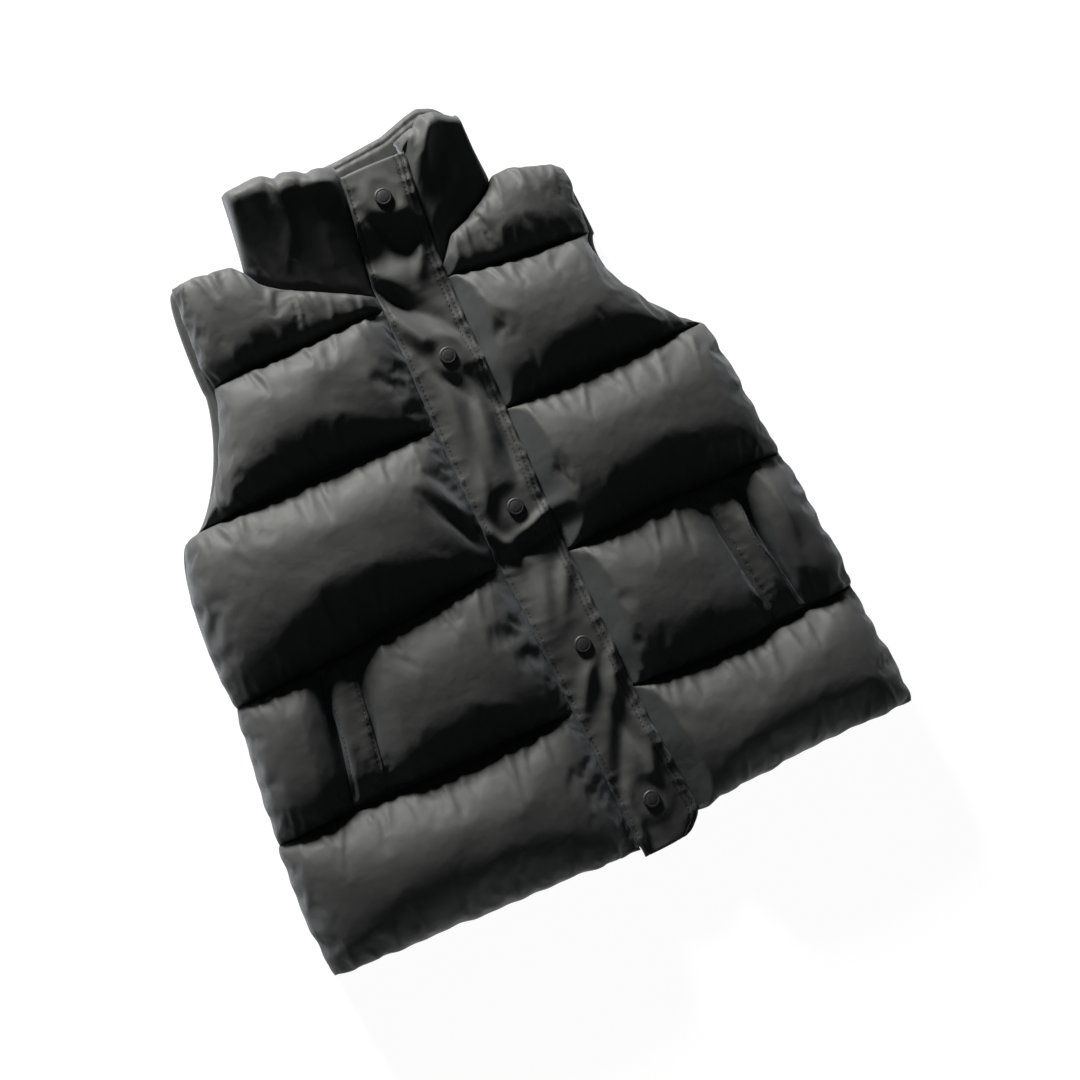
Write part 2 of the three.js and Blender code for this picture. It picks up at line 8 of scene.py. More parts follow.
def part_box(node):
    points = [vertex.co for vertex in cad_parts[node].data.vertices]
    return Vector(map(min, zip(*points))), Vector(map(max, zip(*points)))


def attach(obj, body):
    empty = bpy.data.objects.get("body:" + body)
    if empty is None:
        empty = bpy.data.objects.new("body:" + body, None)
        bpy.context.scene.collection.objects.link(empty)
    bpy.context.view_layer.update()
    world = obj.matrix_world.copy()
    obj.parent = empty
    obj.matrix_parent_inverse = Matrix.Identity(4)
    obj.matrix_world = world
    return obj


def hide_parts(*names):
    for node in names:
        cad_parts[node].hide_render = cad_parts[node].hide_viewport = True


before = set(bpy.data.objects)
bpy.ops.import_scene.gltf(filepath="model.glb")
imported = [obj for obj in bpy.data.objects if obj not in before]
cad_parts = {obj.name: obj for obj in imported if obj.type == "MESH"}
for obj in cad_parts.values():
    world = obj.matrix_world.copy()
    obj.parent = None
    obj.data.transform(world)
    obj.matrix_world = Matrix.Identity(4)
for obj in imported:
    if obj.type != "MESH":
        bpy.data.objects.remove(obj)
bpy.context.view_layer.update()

# Camera, light and floor
# The vest is seen from nearly straight above, from a little to its right side, and turned so that its collar
# points up and to the left. Low light comes from the collar's side.

MM = 0.001
SNAP_3 = (22, -16)  # the third snap's middle in the vest's own tables
snap_low, snap_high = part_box("snap_3")
snap_x = (snap_low.x + snap_high.x) / 2 / MM
snap_y = (snap_low.y + snap_high.y) / 2 / MM
SHIFT = np.array([snap_x - SNAP_3[0], snap_y - SNAP_3[1], 0])


def placed(points):
    """Points of the vest's own tables, in mm, as metres in the frame."""
    return (np.asarray(points, float) + SHIFT) * MM


camera_data = bpy.data.cameras.new("camera")
camera_data.lens = 50
camera_data.sensor_width = 36
camera_data.clip_end = 20
camera = bpy.data.objects.new("camera", camera_data)
bpy.context.collection.objects.link(camera)
bpy.context.scene.camera = camera

VIEW_POINT = (32, -52, 25)  # what the camera looks at
VIEW_DISTANCE = 1350
VIEW_TILT = math.radians(10)  # from straight above, towards the right side
VIEW_TURN = math.radians(25)  # how far the collar leans left in the picture
to_camera = Vector((-math.sin(VIEW_TILT), 0, math.cos(VIEW_TILT)))
picture_right = Vector((math.cos(VIEW_TURN), -math.sin(VIEW_TURN), 0))
picture_right = (picture_right - to_camera * picture_right.dot(to_camera)).normalized()
picture_up = to_camera.cross(picture_right)
camera_turn = Matrix((picture_right, picture_up, to_camera)).transposed().to_4x4()
camera_place = Vector(placed(VIEW_POINT)) + to_camera * VIEW_DISTANCE * MM
camera.matrix_world = Matrix.Translation(camera_place) @ camera_turn


def lamp(name, azimuth, elevation, distance, size, energy, colour):
    """A square soft box at this bearing from +Y, turned to +X, and height, in degrees, facing the vest."""
    light = bpy.data.lights.new(name, "AREA")
    light.size = size
    light.energy = energy
    light.color = colour
    box = bpy.data.objects.new(name, light)
    a, e = math.radians(azimuth), math.radians(elevation)
    way = Vector((math.sin(a) * math.cos(e), math.cos(a) * math.cos(e), math.sin(e)))
    box.location = way * distance
    box.rotation_euler = way.to_track_quat("Z", "Y").to_euler()
    bpy.context.collection.objects.link(box)


lamp("key_light", azimuth=-6, elevation=15, distance=3.0, size=0.6, energy=310, colour=(1.0, 0.985, 0.95))
lamp("fill_light", azimuth=200, elevation=62, distance=3.0, size=2.5, energy=3, colour=(0.9, 0.95, 1.0))

world = bpy.data.worlds.new("studio")
world.use_nodes = True
bpy.context.scene.world = world
background = world.node_tree.nodes["Background"]
dim = world.node_tree.nodes.new("ShaderNodeBackground")
seen = world.node_tree.nodes.new("ShaderNodeLightPath")
choose = world.node_tree.nodes.new("ShaderNodeMixShader")
background.inputs["Color"].default_value = (0.95, 0.95, 0.95, 1)
dim.inputs["Color"].default_value = (0.9, 0.95, 1.0, 1)
dim.inputs["Strength"].default_value = 0.03
world.node_tree.links.new(seen.outputs["Is Camera Ray"], choose.inputs[0])
world.node_tree.links.new(dim.outputs[0], choose.inputs[1])
world.node_tree.links.new(background.outputs[0], choose.inputs[2])
world.node_tree.links.new(choose.outputs[0], world.node_tree.nodes["World Output"].inputs[0])
bpy.context.scene.view_settings.view_transform = "Standard"

FLOOR_HALF = 6.0
FLOOR_Z = -0.0003
floor_mesh = bpy.data.meshes.new("floor")
sides = [(-1, -1), (1, -1), (1, 1), (-1, 1)]
floor_mesh.from_pydata([(x * FLOOR_HALF, y * FLOOR_HALF, FLOOR_Z) for x, y in sides], [], [(0, 1, 2, 3)])
floor = bpy.data.objects.new("floor", floor_mesh)
bpy.context.collection.objects.link(floor)
floor_paint = bpy.data.materials.new("floor_paint")
floor_paint.use_nodes = True
floor_shader = floor_paint.node_tree.nodes["Principled BSDF"]
floor_shader.inputs["Base Color"].default_value = (0.14, 0.14, 0.14, 1)
floor_shader.inputs["Roughness"].default_value = 0.9
floor_shader.inputs["Emission Color"].default_value = (1, 1, 1, 1)
floor_shader.inputs["Emission Strength"].default_value = 0.96
floor_mesh.materials.append(floor_paint)


# Shell cloth
# Every panel is one black, lightly calendered nylon with a satin face. It is thin enough to show small
# creases, and its weave only shows close up.

SHELL_COLOUR = (0.034, 0.0355, 0.0345, 1)
SHELL_ROUGHNESS = 0.6


def shader_of(name):
    """A new material, its nodes and a function that links two of them."""
    material = bpy.data.materials.new(name)
    material.use_nodes = True
    tree = material.node_tree
    return material, tree.nodes, tree.links.new


def noise_node(nodes, link, vector, scale, detail):
    """A noise texture over the vector: its factor."""
    node = nodes.new("ShaderNodeTexNoise")
    node.inputs["Scale"].default_value = scale
    node.inputs["Detail"].default_value = detail
    link(vector, node.inputs["Vector"])
    return node.outputs["Fac"]


def bump_node(nodes, link, height, distance, before=None):
    """A bump of this height in metres, over the one before it: its normal."""
    node = nodes.new("ShaderNodeBump")
    node.inputs["Distance"].default_value = distance
    link(height, node.inputs["Height"])
    if before:
        link(before, node.inputs["Normal"])
    return node.outputs["Normal"]


shell_cloth, nodes, link = shader_of("shell_cloth")
shader = nodes["Principled BSDF"]
where = nodes.new("ShaderNodeTexCoord").outputs["Object"]
shade = nodes.new("ShaderNodeMapRange")
shade.inputs["To Min"].default_value = 0.82
shade.inputs["To Max"].default_value = 1.18
link(noise_node(nodes, link, where, 9, 3), shade.inputs["Value"])
tint = nodes.new("ShaderNodeMix")
tint.data_type = "RGBA"
tint.blend_type = "MULTIPLY"
tint.inputs["Factor"].default_value = 1
tint.inputs["A"].default_value = SHELL_COLOUR
link(shade.outputs["Result"], tint.inputs["B"])
link(tint.outputs["Result"], shader.inputs["Base Color"])
gloss = nodes.new("ShaderNodeMapRange")
gloss.inputs["To Min"].default_value = SHELL_ROUGHNESS - 0.05
gloss.inputs["To Max"].default_value = SHELL_ROUGHNESS + 0.05
link(noise_node(nodes, link, where, 60, 3), gloss.inputs["Value"])
link(gloss.outputs["Result"], shader.inputs["Roughness"])
crumpled = bump_node(nodes, link, noise_node(nodes, link, where, 26, 2), 0.0022)
creased = bump_node(nodes, link, noise_node(nodes, link, where, 120, 3), 0.0003, crumpled)
woven = nodes.new("ShaderNodeTexChecker")
woven.inputs["Scale"].default_value = 2500
link(where, woven.inputs["Vector"])
link(bump_node(nodes, link, woven.outputs["Fac"], 0.00004, creased), shader.inputs["Normal"])
shader.inputs["Specular IOR Level"].default_value = 0.32
shader.inputs["Sheen Weight"].default_value = 0.12
shader.inputs["Sheen Roughness"].default_value = 0.4
shader.inputs["Sheen Tint"].default_value = (0.8, 0.86, 1.0, 1)


# Fronts
# Shells of the cloth over a plain lining, filled with wadding and quilted across in five puffs, which gather
# along every line. The right one carries the placket flap. Both are held down under that flap, so its form
# comes first.

PLACKET = {
    "y": [-346, -333, -262, -205, -128, -63, 4, 74, 136, 193, 212, 281, 313],
    "right": [-5, -7, -8, -9, -11, -13, -14, -13, -11, -9, -9, 1, 6],
    "left": [48, 56, 50, 48, 48, 48, 49, 52, 53, 55, 56, 61, 66],
    "z": [28, 29, 36, 33, 38, 30, 41, 36, 39, 33, 37, 47, 45],
}
FLAP_THICK = 1.3
FLAP_CROWN = 3  # how far the flap bows up between its edges
FLAP_OVERHANG = 2  # how far it reaches past its table's left line
FLAP_CORNER_Y = -328  # where the free edge starts to turn in, to a rounded corner at its foot
FLAP_CORNER_TALL = 20
FLAP_CORNER_WIDE = 13
PLACKET_FOLDS = [
    (44, 266, 112, 60, 9, 5),
    (20, 262, -66, 70, 8, -4),
    (22, 176, -58, 90, 9, -8),
    (6, 160, -62, 84, 9, 5),
    (34, 150, -66, 120, 8, 5),
    (16, 118, -66, 70, 7, -4.5),
    (41, 96, -74, 70, 6, -4),
    (8, 76, 84, 70, 9, 4),
    (28, 58, 78, 80, 8, 3.5),
    (38, 30, 84, 60, 6, -3.5),
    (2, 6, 74, 60, 7, 3.5),
    (-3, -37, -59, 54, 6, 4),
    (34, -34, 17, 50, 7, 6),
    (22, -52, 8, 60, 7, -5),
    (36, -92, 62, 60, 7, 3.5),
    (10, -104, 70, 60, 9, 3),
    (12, -186, 58, 70, 7, 3.5),
    (34, -196, 66, 80, 8, 6),
    (26, -226, -84, 60, 6, -4),
    (42, -242, -80, 66, 6, 3.5),
    (12, -256, 70, 80, 8, -4.5),
    (34, -276, 74, 60, 6, 3.5),
    (2, -300, 80, 50, 6, 3),
    (0, -328, 78, 30, 4, 3),
    (4, 198, -53, 38, 7, -5),
    (-2, 222, -58, 34, 6, 3),
    (44, 226, 62, 44, 6, 4),
]
SNAP_PLACES = [(32, 281), (25, 131), (22, -16), (24, -152), (21, -303)]
FLAP_TOP_Y = 313
FLAP_FOOT_Y = -348.5
FOLD_STRENGTH = 1.35
NECK_DIP = 10  # how far the flap sinks in where the collar is sewn on
NECK_DIP_Y = 240
NECK_DIP_WIDE = 20
SNAP_LEVEL = 11  # the flap lies level this far round a snap, and follows its own form from SNAP_EASE further
SNAP_EASE = 15
FRONT_FLOOR = 20.3  # the back's thickness and a hair
SEAM_THICK = 5  # the front where a quilting line pinches it
NECK_FRONT_Y = 206
PUFFS = 5
PUFF_TALL = 130  # about the distance between two quilting lines
PUFF_ROWS = 38
PUFF_POWER = 2.9  # higher is flatter on top and steeper at the lines
PUFF_START = 0.92  # the share of its height that a puff has before the filling pushes it out
FRONT_COLUMNS = 90
SIDE_ROUND = 46  # how far in from the side a puff reaches its full height
FLAP_ROUND = 34  # the same beside the flap, where it starts with FLAP_SHARE of it
FLAP_SHARE = 0.35
FLAP_BLEND = 9  # the distance over which a front leaves the flap's own height
GATHER_TALLEST = 3.2
POCKET_PUFF = 3  # counted from 0 at the top
WELT_HALF = 16
WELT_DIP = 0.5  # the share of its height that a puff loses under a welt
WELT_EASE = 26
WELT_PULL = 60  # how far the grid's columns lean with the welt

RIGHT_FRONT = {
    "name": "front_right",
    "side": "right",
    "sign": -1,
    "under_flap": 0,
    "flap_drop": 1.4,
    "top": {
        "x": [9, 33, 59, 82, 98, 106, 115, 148, 168],
        "y": [206, 219, 233, 245, 258, 272, 282, 286, 285],
    },
    "lines": {
        "y_in": [193, 76, -58, -204, -341],
        "y_out": [190, 80, -72, -194, -317],
        "sag": [0, -4, 1, -3, 0],
        "out": [173, 240, 271, 288, 293],
    },
    "puffs": {
        "crown": [24, 34, 40, 37, 36],
        "bulge": [3, -13, 17, 3, 5],
        "peak": [0.5, 0.6, 0.3, 0.5, 0.4],
    },
    "folds": [
        (-12, 106, -77, 51, 5, 4),
        (-26, 1, -63, 78, 7, 5),
        (-36, -5, -64, 73, 6, -4),
        (-85, 171, -70, 42, 14, 2.5),
        (-183, -84, 83, 47, 6, 2.5),
        (-166, 110, -14, 42, 8, 2),
        (-74, -72, -4, 54, 9, 2),
    ],
    "welt": {"middle": 190, "slant": 13, "turned_back": 3},
    "seed": 11,
}
LEFT_FRONT = {
    "name": "front_left",
    "side": "left",
    "sign": 1,
    "under_flap": 9,
    "flap_drop": 4.2,
    "top": {
        "x": [56, 76, 97, 116, 127, 133, 150, 188, 200],
        "y": [206, 231, 239, 250, 258, 266, 267, 255, 247],
    },
    "lines": {
        "y_in": [200, 68, -72, -205, -334],
        "y_out": [184, 66, -74, -213, -335],
        "sag": [4, 0, -5, 4, -4],
        "out": [195, 257, 270, 278, 285],
    },
    "puffs": {
        "crown": [24, 36, 40, 37, 36],
        "bulge": [1, -23, 1, 3, 0],
        "peak": [0.5, 0.5, 0.15, 0.6, 0.6],
    },
    "folds": [
        (76, 151, -70, 43, 8, 3),
        (62, 31, -80, 62, 9, 4),
        (132, -90, 1, 48, 9, 2),
        (238, -124, 87, 68, 6, 4),
        (68, -147, -70, 58, 9, 3),
        (66, -262, -78, 60, 8, 3),
    ],
    "welt": {"middle": 202, "slant": 10, "turned_back": 11},
    "seed": 12,
}


def mix(a, b, t):
    """The way from a to b at t, from 0 to 1."""
    return a + (b - a) * t


def crowded(count, share):
    """Even steps from 0 to 1, then crowded towards both ends."""
    t = np.linspace(0, 1, count)
    return t - share * np.sin(2 * np.pi * t)


def ease(t):
    """A smooth step from 0 to 1."""
    t = np.clip(t, 0, 1)
    return t * t * (3 - 2 * t)


def hump(t, peak):
    """A round hump over 0 to 1: 1 at the peak, 0 at both ends."""
    t = np.clip(t, 0, 1)
    return (t / peak) ** peak * ((1 - t) / (1 - peak)) ** (1 - peak)


def round_in(distance, reach, power=2.3):
    """The rise from 0 at an edge to 1 at the given distance in, as a quarter of a rounded square."""
    return (1 - (1 - np.clip(distance / reach, 0, 1)) ** power) ** (1 / power)


def flap_value(column, y, soft=9):
    """A column of the placket's table at y, its corners rounded off over a few mm."""
    return sum(np.interp(y + d, PLACKET["y"], PLACKET[column]) for d in (-soft, 0, soft)) / 3


def folds(x, y, table):
    """The sum of soft ridges and troughs. Each row is a middle, a bearing in degrees, a length, a width and a
    height: the height falls off as a bell curve along the bearing and across it."""
    z = np.zeros_like(x)
    for fold_x, fold_y, turn, length, width, height in table:
        way = math.radians(turn)
        along = (x - fold_x) * math.cos(way) + (y - fold_y) * math.sin(way)
        across = (y - fold_y) * math.cos(way) - (x - fold_x) * math.sin(way)
        z += height * np.exp(-((2 * along / length) ** 2) - (across / width) ** 2)
    return z


GATHER_SPACING = (8, 22)
GATHER_WIDTH = (2.4, 4.4)
GATHER_REACH = (3.5, 9)
GATHER_LEAN = (-0.35, 0.35)
GATHER_HEIGHT = (0.35, 1)
GATHER_MOST = 60


def gathers(x, off, rng, span, tallest):
    """The gathers beside one quilting line. They stand at uneven places along it, and each is a narrow ridge
    that rises from the line, is tallest a few mm off it and runs out within its own length."""
    z = np.zeros_like(x)
    places = span[0] + np.cumsum(rng.uniform(*GATHER_SPACING, GATHER_MOST))
    for place in places[places < span[1]]:
        width, reach = rng.uniform(*GATHER_WIDTH), rng.uniform(*GATHER_REACH)
        lean, height = rng.uniform(*GATHER_LEAN), tallest * rng.uniform(*GATHER_HEIGHT)
        ridge = np.exp(-(((x - place - lean * off) / width) ** 2))
        z += height * ridge * (off / reach) * np.exp(1 - off / reach)
    return z


def flap_edges(y):
    """The flap's sewn edge on the right and its free edge on the left, at each y."""
    foot_y, above_y = PLACKET["y"][:2]
    right = mix(flap_value("right", y, 4), PLACKET["right"][0], ease((above_y - y) / (above_y - foot_y)))
    turned = np.clip((FLAP_CORNER_Y - y) / FLAP_CORNER_TALL, 0, 1)
    left = flap_value("left", y, 4) + FLAP_OVERHANG - FLAP_CORNER_WIDE * (1 - np.sqrt(1 - turned**2))
    return right, left


def snap_seat(y):
    """The height of the level patch round a snap."""
    return np.interp(y, PLACKET["y"], PLACKET["z"]) + FLAP_CROWN


def flap_point(u, y):
    """A point of the flap's outer face, at the share u of its width. The flap follows the table of its lines,
    bows up between its edges, is creased by the folds, sinks in at the neckline and lies level round each
    snap."""
    right, left = flap_edges(y)
    x = mix(right, left, u)
    z = flap_value("z", y) + FLAP_CROWN * 4 * u * (1 - u) + FOLD_STRENGTH * folds(x, y, PLACKET_FOLDS)
    z = z - NECK_DIP * np.exp(-(((y - NECK_DIP_Y) / NECK_DIP_WIDE) ** 2))
    for snap_x, snap_y in SNAP_PLACES:
        off_snap = np.hypot(x - snap_x, y - snap_y)
        z = mix(snap_seat(snap_y), z, ease((off_snap - SNAP_LEVEL) / SNAP_EASE))
    return x, y, z


FLAP_WALL = 1.6  # the slope at which a panel may rise from the flap's edge
FLAP_PRESS = 1.6  # how far the flap's creased underside reaches below its even one
FLAP_BEND = 1.2  # how softly a panel bends where the flap holds it down


def tucked(points):
    """The points, held down where the flap lies on them. The flap's underside is a ceiling that rises steeply
    outside the flap's edges, and a point keeps under it with a soft bend."""
    x, y, z = np.moveaxis(points, -1, 0)
    right, left = flap_edges(y)
    share = np.clip((x - right) / (left - right), 0, 1)
    _, _, flap_z = flap_point(share, np.clip(y, FLAP_FOOT_Y, FLAP_TOP_Y))
    beyond = np.maximum(np.maximum(right - x, x - left), np.maximum(y - FLAP_TOP_Y, FLAP_FOOT_Y - y))
    ceiling = flap_z - FLAP_THICK - FLAP_PRESS + FLAP_WALL * np.maximum(beyond, 0)
    held = z - FLAP_BEND * np.logaddexp(0, (z - ceiling) / FLAP_BEND)
    return np.stack([x, y, held], -1)


WOBBLE_LENGTHS = (23, 37, 59, 97)
WOBBLE_HEIGHT = 0.4


def wobble(along, seed):
    """The uneven run of a sewn edge, in mm: a few waves of different length."""
    rng = np.random.default_rng(seed)
    waves = [(length, rng.uniform(0, 6.3)) for length in WOBBLE_LENGTHS]
    return WOBBLE_HEIGHT * sum(np.sin(2 * np.pi * along / length + shift) for length, shift in waves)


def front_points(front):
    """The start shape of a front as a grid, each point with its distance from the nearest quilting line and
    its cell's height. u runs from the placket to the side, and t runs down each puff. Between two lines a
    point moves straight from one to the other, and the side bulges. The height is a rounded square over each
    puff, lower beside the placket, at the side and under the welt, with gathers beside every line."""
    lines, puffs, top, sign = front["lines"], front["puffs"], front["top"], front["sign"]
    rng = np.random.default_rng(front["seed"])
    share = crowded(PUFF_ROWS + 1, 0.07)
    across = crowded(FRONT_COLUMNS + 1, 0.04)

    def flap(y):
        """The front's end under the flap."""
        return sign * flap_value(front["side"], y) - front["under_flap"]

    def row(i, u):
        """The quilting line below puff i, or the top edge for -1."""
        if i < 0:
            x = mix(flap(NECK_FRONT_Y), top["x"][-1], u)
            return x, np.interp(x, top["x"], top["y"]) - 0.3
        y_in, y_out = lines["y_in"][i], lines["y_out"][i]
        sag = lines["sag"][i] * 4 * u * (1 - u)
        return mix(flap(y_in), lines["out"][i], u), mix(y_in, y_out, u) - sag

    grids = []
    for k in range(PUFFS):
        last = k == PUFFS - 1
        t, u = np.meshgrid(share if last else share[:-1], across, indexing="ij")
        (ax, ay), (bx, by) = row(k - 1, u), row(k, u)
        y = mix(ay, by, t)
        bulge, peak = puffs["bulge"][k], puffs["peak"][k]
        straight = mix(flap(ay[0, 0]), flap(by[0, 0]), t)
        x = mix(ax, bx, t) + (flap(y) - straight) * (1 - ease(u * 4))
        x = x + bulge * hump(t, peak) ** (1.5 if bulge < 0 else 1) * u**4
        x = x + wobble(y, front["seed"]) * u**10
        y = y + (wobble(x, front["seed"] + 5) * t**10 if last else 0)
        tall = np.abs(ay - by)
        puff = puffs["crown"][k] * PUFF_START * round_in(0.5 - np.abs(t - 0.5), 0.5, PUFF_POWER)
        puff = puff * mix(FLAP_SHARE, 1, round_in(x - flap(y), FLAP_ROUND, 2))
        side_in = mix(ax[0, -1], bx[0, -1], t) * (1 - u)
        puff = puff * round_in(side_in, SIDE_ROUND)
        if k == POCKET_PUFF:
            middle, slant = front["welt"]["middle"], front["welt"]["slant"]
            near = np.exp(-(((x - middle) / WELT_PULL) ** 2))
            near = near * np.clip((1 - u) * 5, 0, 1) * np.clip(u * 5, 0, 1)
            x = x + slant * (2 * t - 1) * near * hump(t, 0.5) ** 0.15
            off_welt = np.abs(x - middle - slant * (2 * t - 1)) - WELT_HALF
            puff = puff * (1 - WELT_DIP * (1 - ease(off_welt / WELT_EASE)))
        calm = round_in(side_in, 30) * np.clip((x - flap(y)) / 12, 0, 1)
        for off in (t * tall, (1 - t) * tall):
            puff = puff + gathers(x, off, rng, (10, 300), GATHER_TALLEST) * calm
        puff = puff + folds(sign * x, y, front["folds"]) * round_in(side_in, 20)
        z = FRONT_FLOOR + SEAM_THICK + puff
        edge_z = flap_value("z", y) - front["flap_drop"]
        z = mix(z, edge_z, np.exp(-np.maximum(x - flap(y), 0) / FLAP_BLEND))
        grids.append(np.stack([sign * x, y, z, np.minimum(t, 1 - t) * tall, tall / PUFF_ROWS], -1))
    return np.concatenate(grids)


def grid_faces(rows, columns, flip=False):
    """The quads of a grid of points, four indices each."""
    i = np.arange(rows * columns).reshape(rows, columns)
    quads = np.stack([i[:-1, :-1], i[:-1, 1:], i[1:, 1:], i[1:, :-1]], -1).reshape(-1, 4)
    return quads[:, ::-1] if flip else quads


def mesh_object(name, points, faces, material):
    """A smooth-shaded object of these points, in mm in the tables' own place, and faces."""
    mesh = bpy.data.meshes.new(name)
    mesh.from_pydata(placed(points).tolist(), [], [list(f) for f in faces])
    mesh.polygons.foreach_set("use_smooth", np.ones(len(mesh.polygons), bool))
    mesh.materials.append(material)
    obj = bpy.data.objects.new(name, mesh)
    bpy.context.collection.objects.link(obj)
    return obj


SIM_FRAMES = 16
STIFFNESS = 15  # of the cloth against stretch and squeeze


def filled(points, faces, sewn, off_seam, pressure=5.0, grow=0.02, grow_at_seam=0.15, reach=12):
    """The points after the filling has pushed the shell out. The sewn points stay where they are. The cloth
    is cut larger than its place, by grow in the middle and by grow_at_seam beside a seam, so that it
    gathers."""
    shell = mesh_object("cloth_at_work", points, faces, shell_cloth)
    pin = shell.vertex_groups.new(name="pin")
    pin.add(np.flatnonzero(sewn).tolist(), 1.0, "REPLACE")
    pull = shell.vertex_groups.new(name="pull")
    weight = np.round(np.exp(-off_seam / reach), 2)
    for value in np.unique(weight):
        pull.add(np.flatnonzero(weight == value).tolist(), float(value), "REPLACE")
    cloth = shell.modifiers.new("cloth", "CLOTH")
    cloth.settings.quality = 3
    cloth.settings.mass = 0.3
    cloth.settings.tension_stiffness = STIFFNESS
    cloth.settings.compression_stiffness = STIFFNESS
    cloth.settings.shear_stiffness = 5
    cloth.settings.bending_stiffness = 0.5
    cloth.settings.air_damping = 1
    cloth.settings.use_pressure = True
    cloth.settings.uniform_pressure_force = pressure
    cloth.settings.shrink_min = -grow
    cloth.settings.shrink_max = -grow_at_seam
    cloth.settings.vertex_group_mass = "pin"
    cloth.settings.vertex_group_shrink = "pull"
    cloth.settings.effector_weights.gravity = 0
    cloth.collision_settings.use_collision = False
    cloth.point_cache.frame_end = SIM_FRAMES
    for step in range(1, SIM_FRAMES + 1):
        bpy.context.scene.frame_set(step)
    done = shell.evaluated_get(bpy.context.evaluated_depsgraph_get()).to_mesh()
    out = np.empty(len(points) * 3)
    done.vertices.foreach_get("co", out)
    bpy.data.objects.remove(shell)
    bpy.context.scene.frame_set(1)
    return out.reshape(-1, 3) / MM - SHIFT


def refined(grid):
    """The grid with its steps halved. A new point lies midway between two, and an old one moves a quarter of
    the way to the mean of its neighbours, so creases of one step soften. The edges and corners stay."""
    for axis in (0, 1):
        g = np.moveaxis(grid, axis, 0)
        out = np.empty((2 * len(g) - 1,) + g.shape[1:])
        out[::2] = g
        out[2:-1:2] = 0.75 * g[1:-1] + 0.125 * (g[:-2] + g[2:])
        out[1::2] = (g[:-1] + g[1:]) / 2
        grid = np.moveaxis(out, 0, axis)
    return grid


def rim_of(rows, columns):
    """The indices round the edge of a grid, once round."""
    i = np.arange(rows * columns).reshape(rows, columns)
    return np.concatenate([i[0, :-1], i[:-1, -1], i[-1, :0:-1], i[:0:-1, 0]])


WALL_STEPS = ((0.45, 0.1), (0.85, 0.35), (1, 1))  # the share of the way down, and of the way in, at each ring


def closed_below(points, rows, columns, floor_z, inset):
    """Adds a wall round the edge of a grid of points, down to a flat underside, and gives the points and all
    the faces but the grid's own. The wall turns in a little at its foot."""
    rim = rim_of(rows, columns)
    edge = points[rim]
    middle = edge.mean(0)
    inward = middle - edge
    inward[:, 2] = 0
    inward /= np.linalg.norm(inward, axis=1)[:, None]
    rings = []
    for drop, inside in WALL_STEPS:
        ring = edge + inward * inset * inside
        ring[:, 2] = mix(edge[:, 2], floor_z, drop)
        rings.append(ring)
    n, start = len(rim), len(points)
    index = [rim] + [start + np.arange(n) + n * r for r in range(len(rings))]
    walls = [np.stack([a, b, np.roll(b, -1), np.roll(a, -1)], -1) for a, b in zip(index, index[1:])]
    return np.concatenate([points, *rings]), np.concatenate(walls), index[-1]


SMALLEST_CELL = 1.3  # smaller cells, in the neck's corner, stay still, because they slow the simulation
LEAST_THICK = 1.5
POCKET_RECESS = 12  # how deep the cloth falls in beside a welt's open edge
RECESS_HALF = 4.5
RECESS_EASE = 24

front_grids = {}
for front in (RIGHT_FRONT, LEFT_FRONT):
    grid = front_points(front)
    rows, columns = grid.shape[:2]
    start = grid[..., :3].reshape(-1, 3)
    seam = np.zeros((rows, columns), bool)
    seam[::PUFF_ROWS] = True
    seam[:, [0, -1]] = True
    seam |= grid[..., 4] < SMALLEST_CELL
    faces = grid_faces(rows, columns, flip=front["sign"] > 0)
    settled = filled(start, faces, seam.ravel(), grid[..., 3].ravel())
    settled[:, 2] = np.maximum(settled[:, 2], FRONT_FLOOR + LEAST_THICK)
    fine = tucked(refined(settled.reshape(rows, columns, 3)))
    fine[..., 2] = np.maximum(fine[..., 2], FRONT_FLOOR + LEAST_THICK)
    pocket = fine[2 * POCKET_PUFF * PUFF_ROWS : 2 * (POCKET_PUFF + 1) * PUFF_ROWS + 1]
    t = np.linspace(0, 1, len(pocket))[:, None]
    past = np.abs(pocket[..., 0]) - front["welt"]["middle"] - front["welt"]["slant"] * (2 * t - 1) - WELT_HALF
    recess = POCKET_RECESS * np.exp(-(((past + 1) / RECESS_HALF) ** 2))
    recess = recess * ease(np.minimum(t, 1 - t) * PUFF_TALL / RECESS_EASE)
    pocket[..., 2] = np.maximum(pocket[..., 2] - recess, FRONT_FLOOR + 4)
    front_grids[front["name"]] = fine
    rows, columns = fine.shape[:2]
    faces = grid_faces(rows, columns, flip=front["sign"] > 0)
    points, walls, bottom = closed_below(fine.reshape(-1, 3), rows, columns, FRONT_FLOOR + 0.2, 3)
    if front["sign"] > 0:
        walls, bottom = walls[:, ::-1], bottom[::-1]
    panel = mesh_object(front["name"] + "_panel", points, [*faces, *walls, bottom], shell_cloth)
    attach(panel, "root")
    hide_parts(front["name"])


# Back panel
# The same shell cloth and filling as the fronts, pressed flat under them, with its own quilting lines on the
# side that lies on the floor. It shows past the fronts in the armholes.

BACK_THICK = 20
BACK_PAST_FRONT = [0, 9, 2, 0, 0, 0]  # past the shoulder and each line, to the hem
BACK_NECK = {"x": [-106, -60, 12, 80, 133], "y": [272, 260, 256, 259, 266]}
BACK_ROWS_A_PUFF = 26
BACK_COLUMNS = 150
BACK_GROOVE = 5.5  # how deep a quilting line lies, and how far off it the groove ends
BACK_GROOVE_REACH = 30
BACK_GATHER = 2.4
BACK_RIM_REACH = 12
BACK_RIM_DEPTH = 7.2
FLOOR_CLEAR = 0.05
SHOULDER = slice(6, None)  # the columns of a front's top edge that lie past the neck


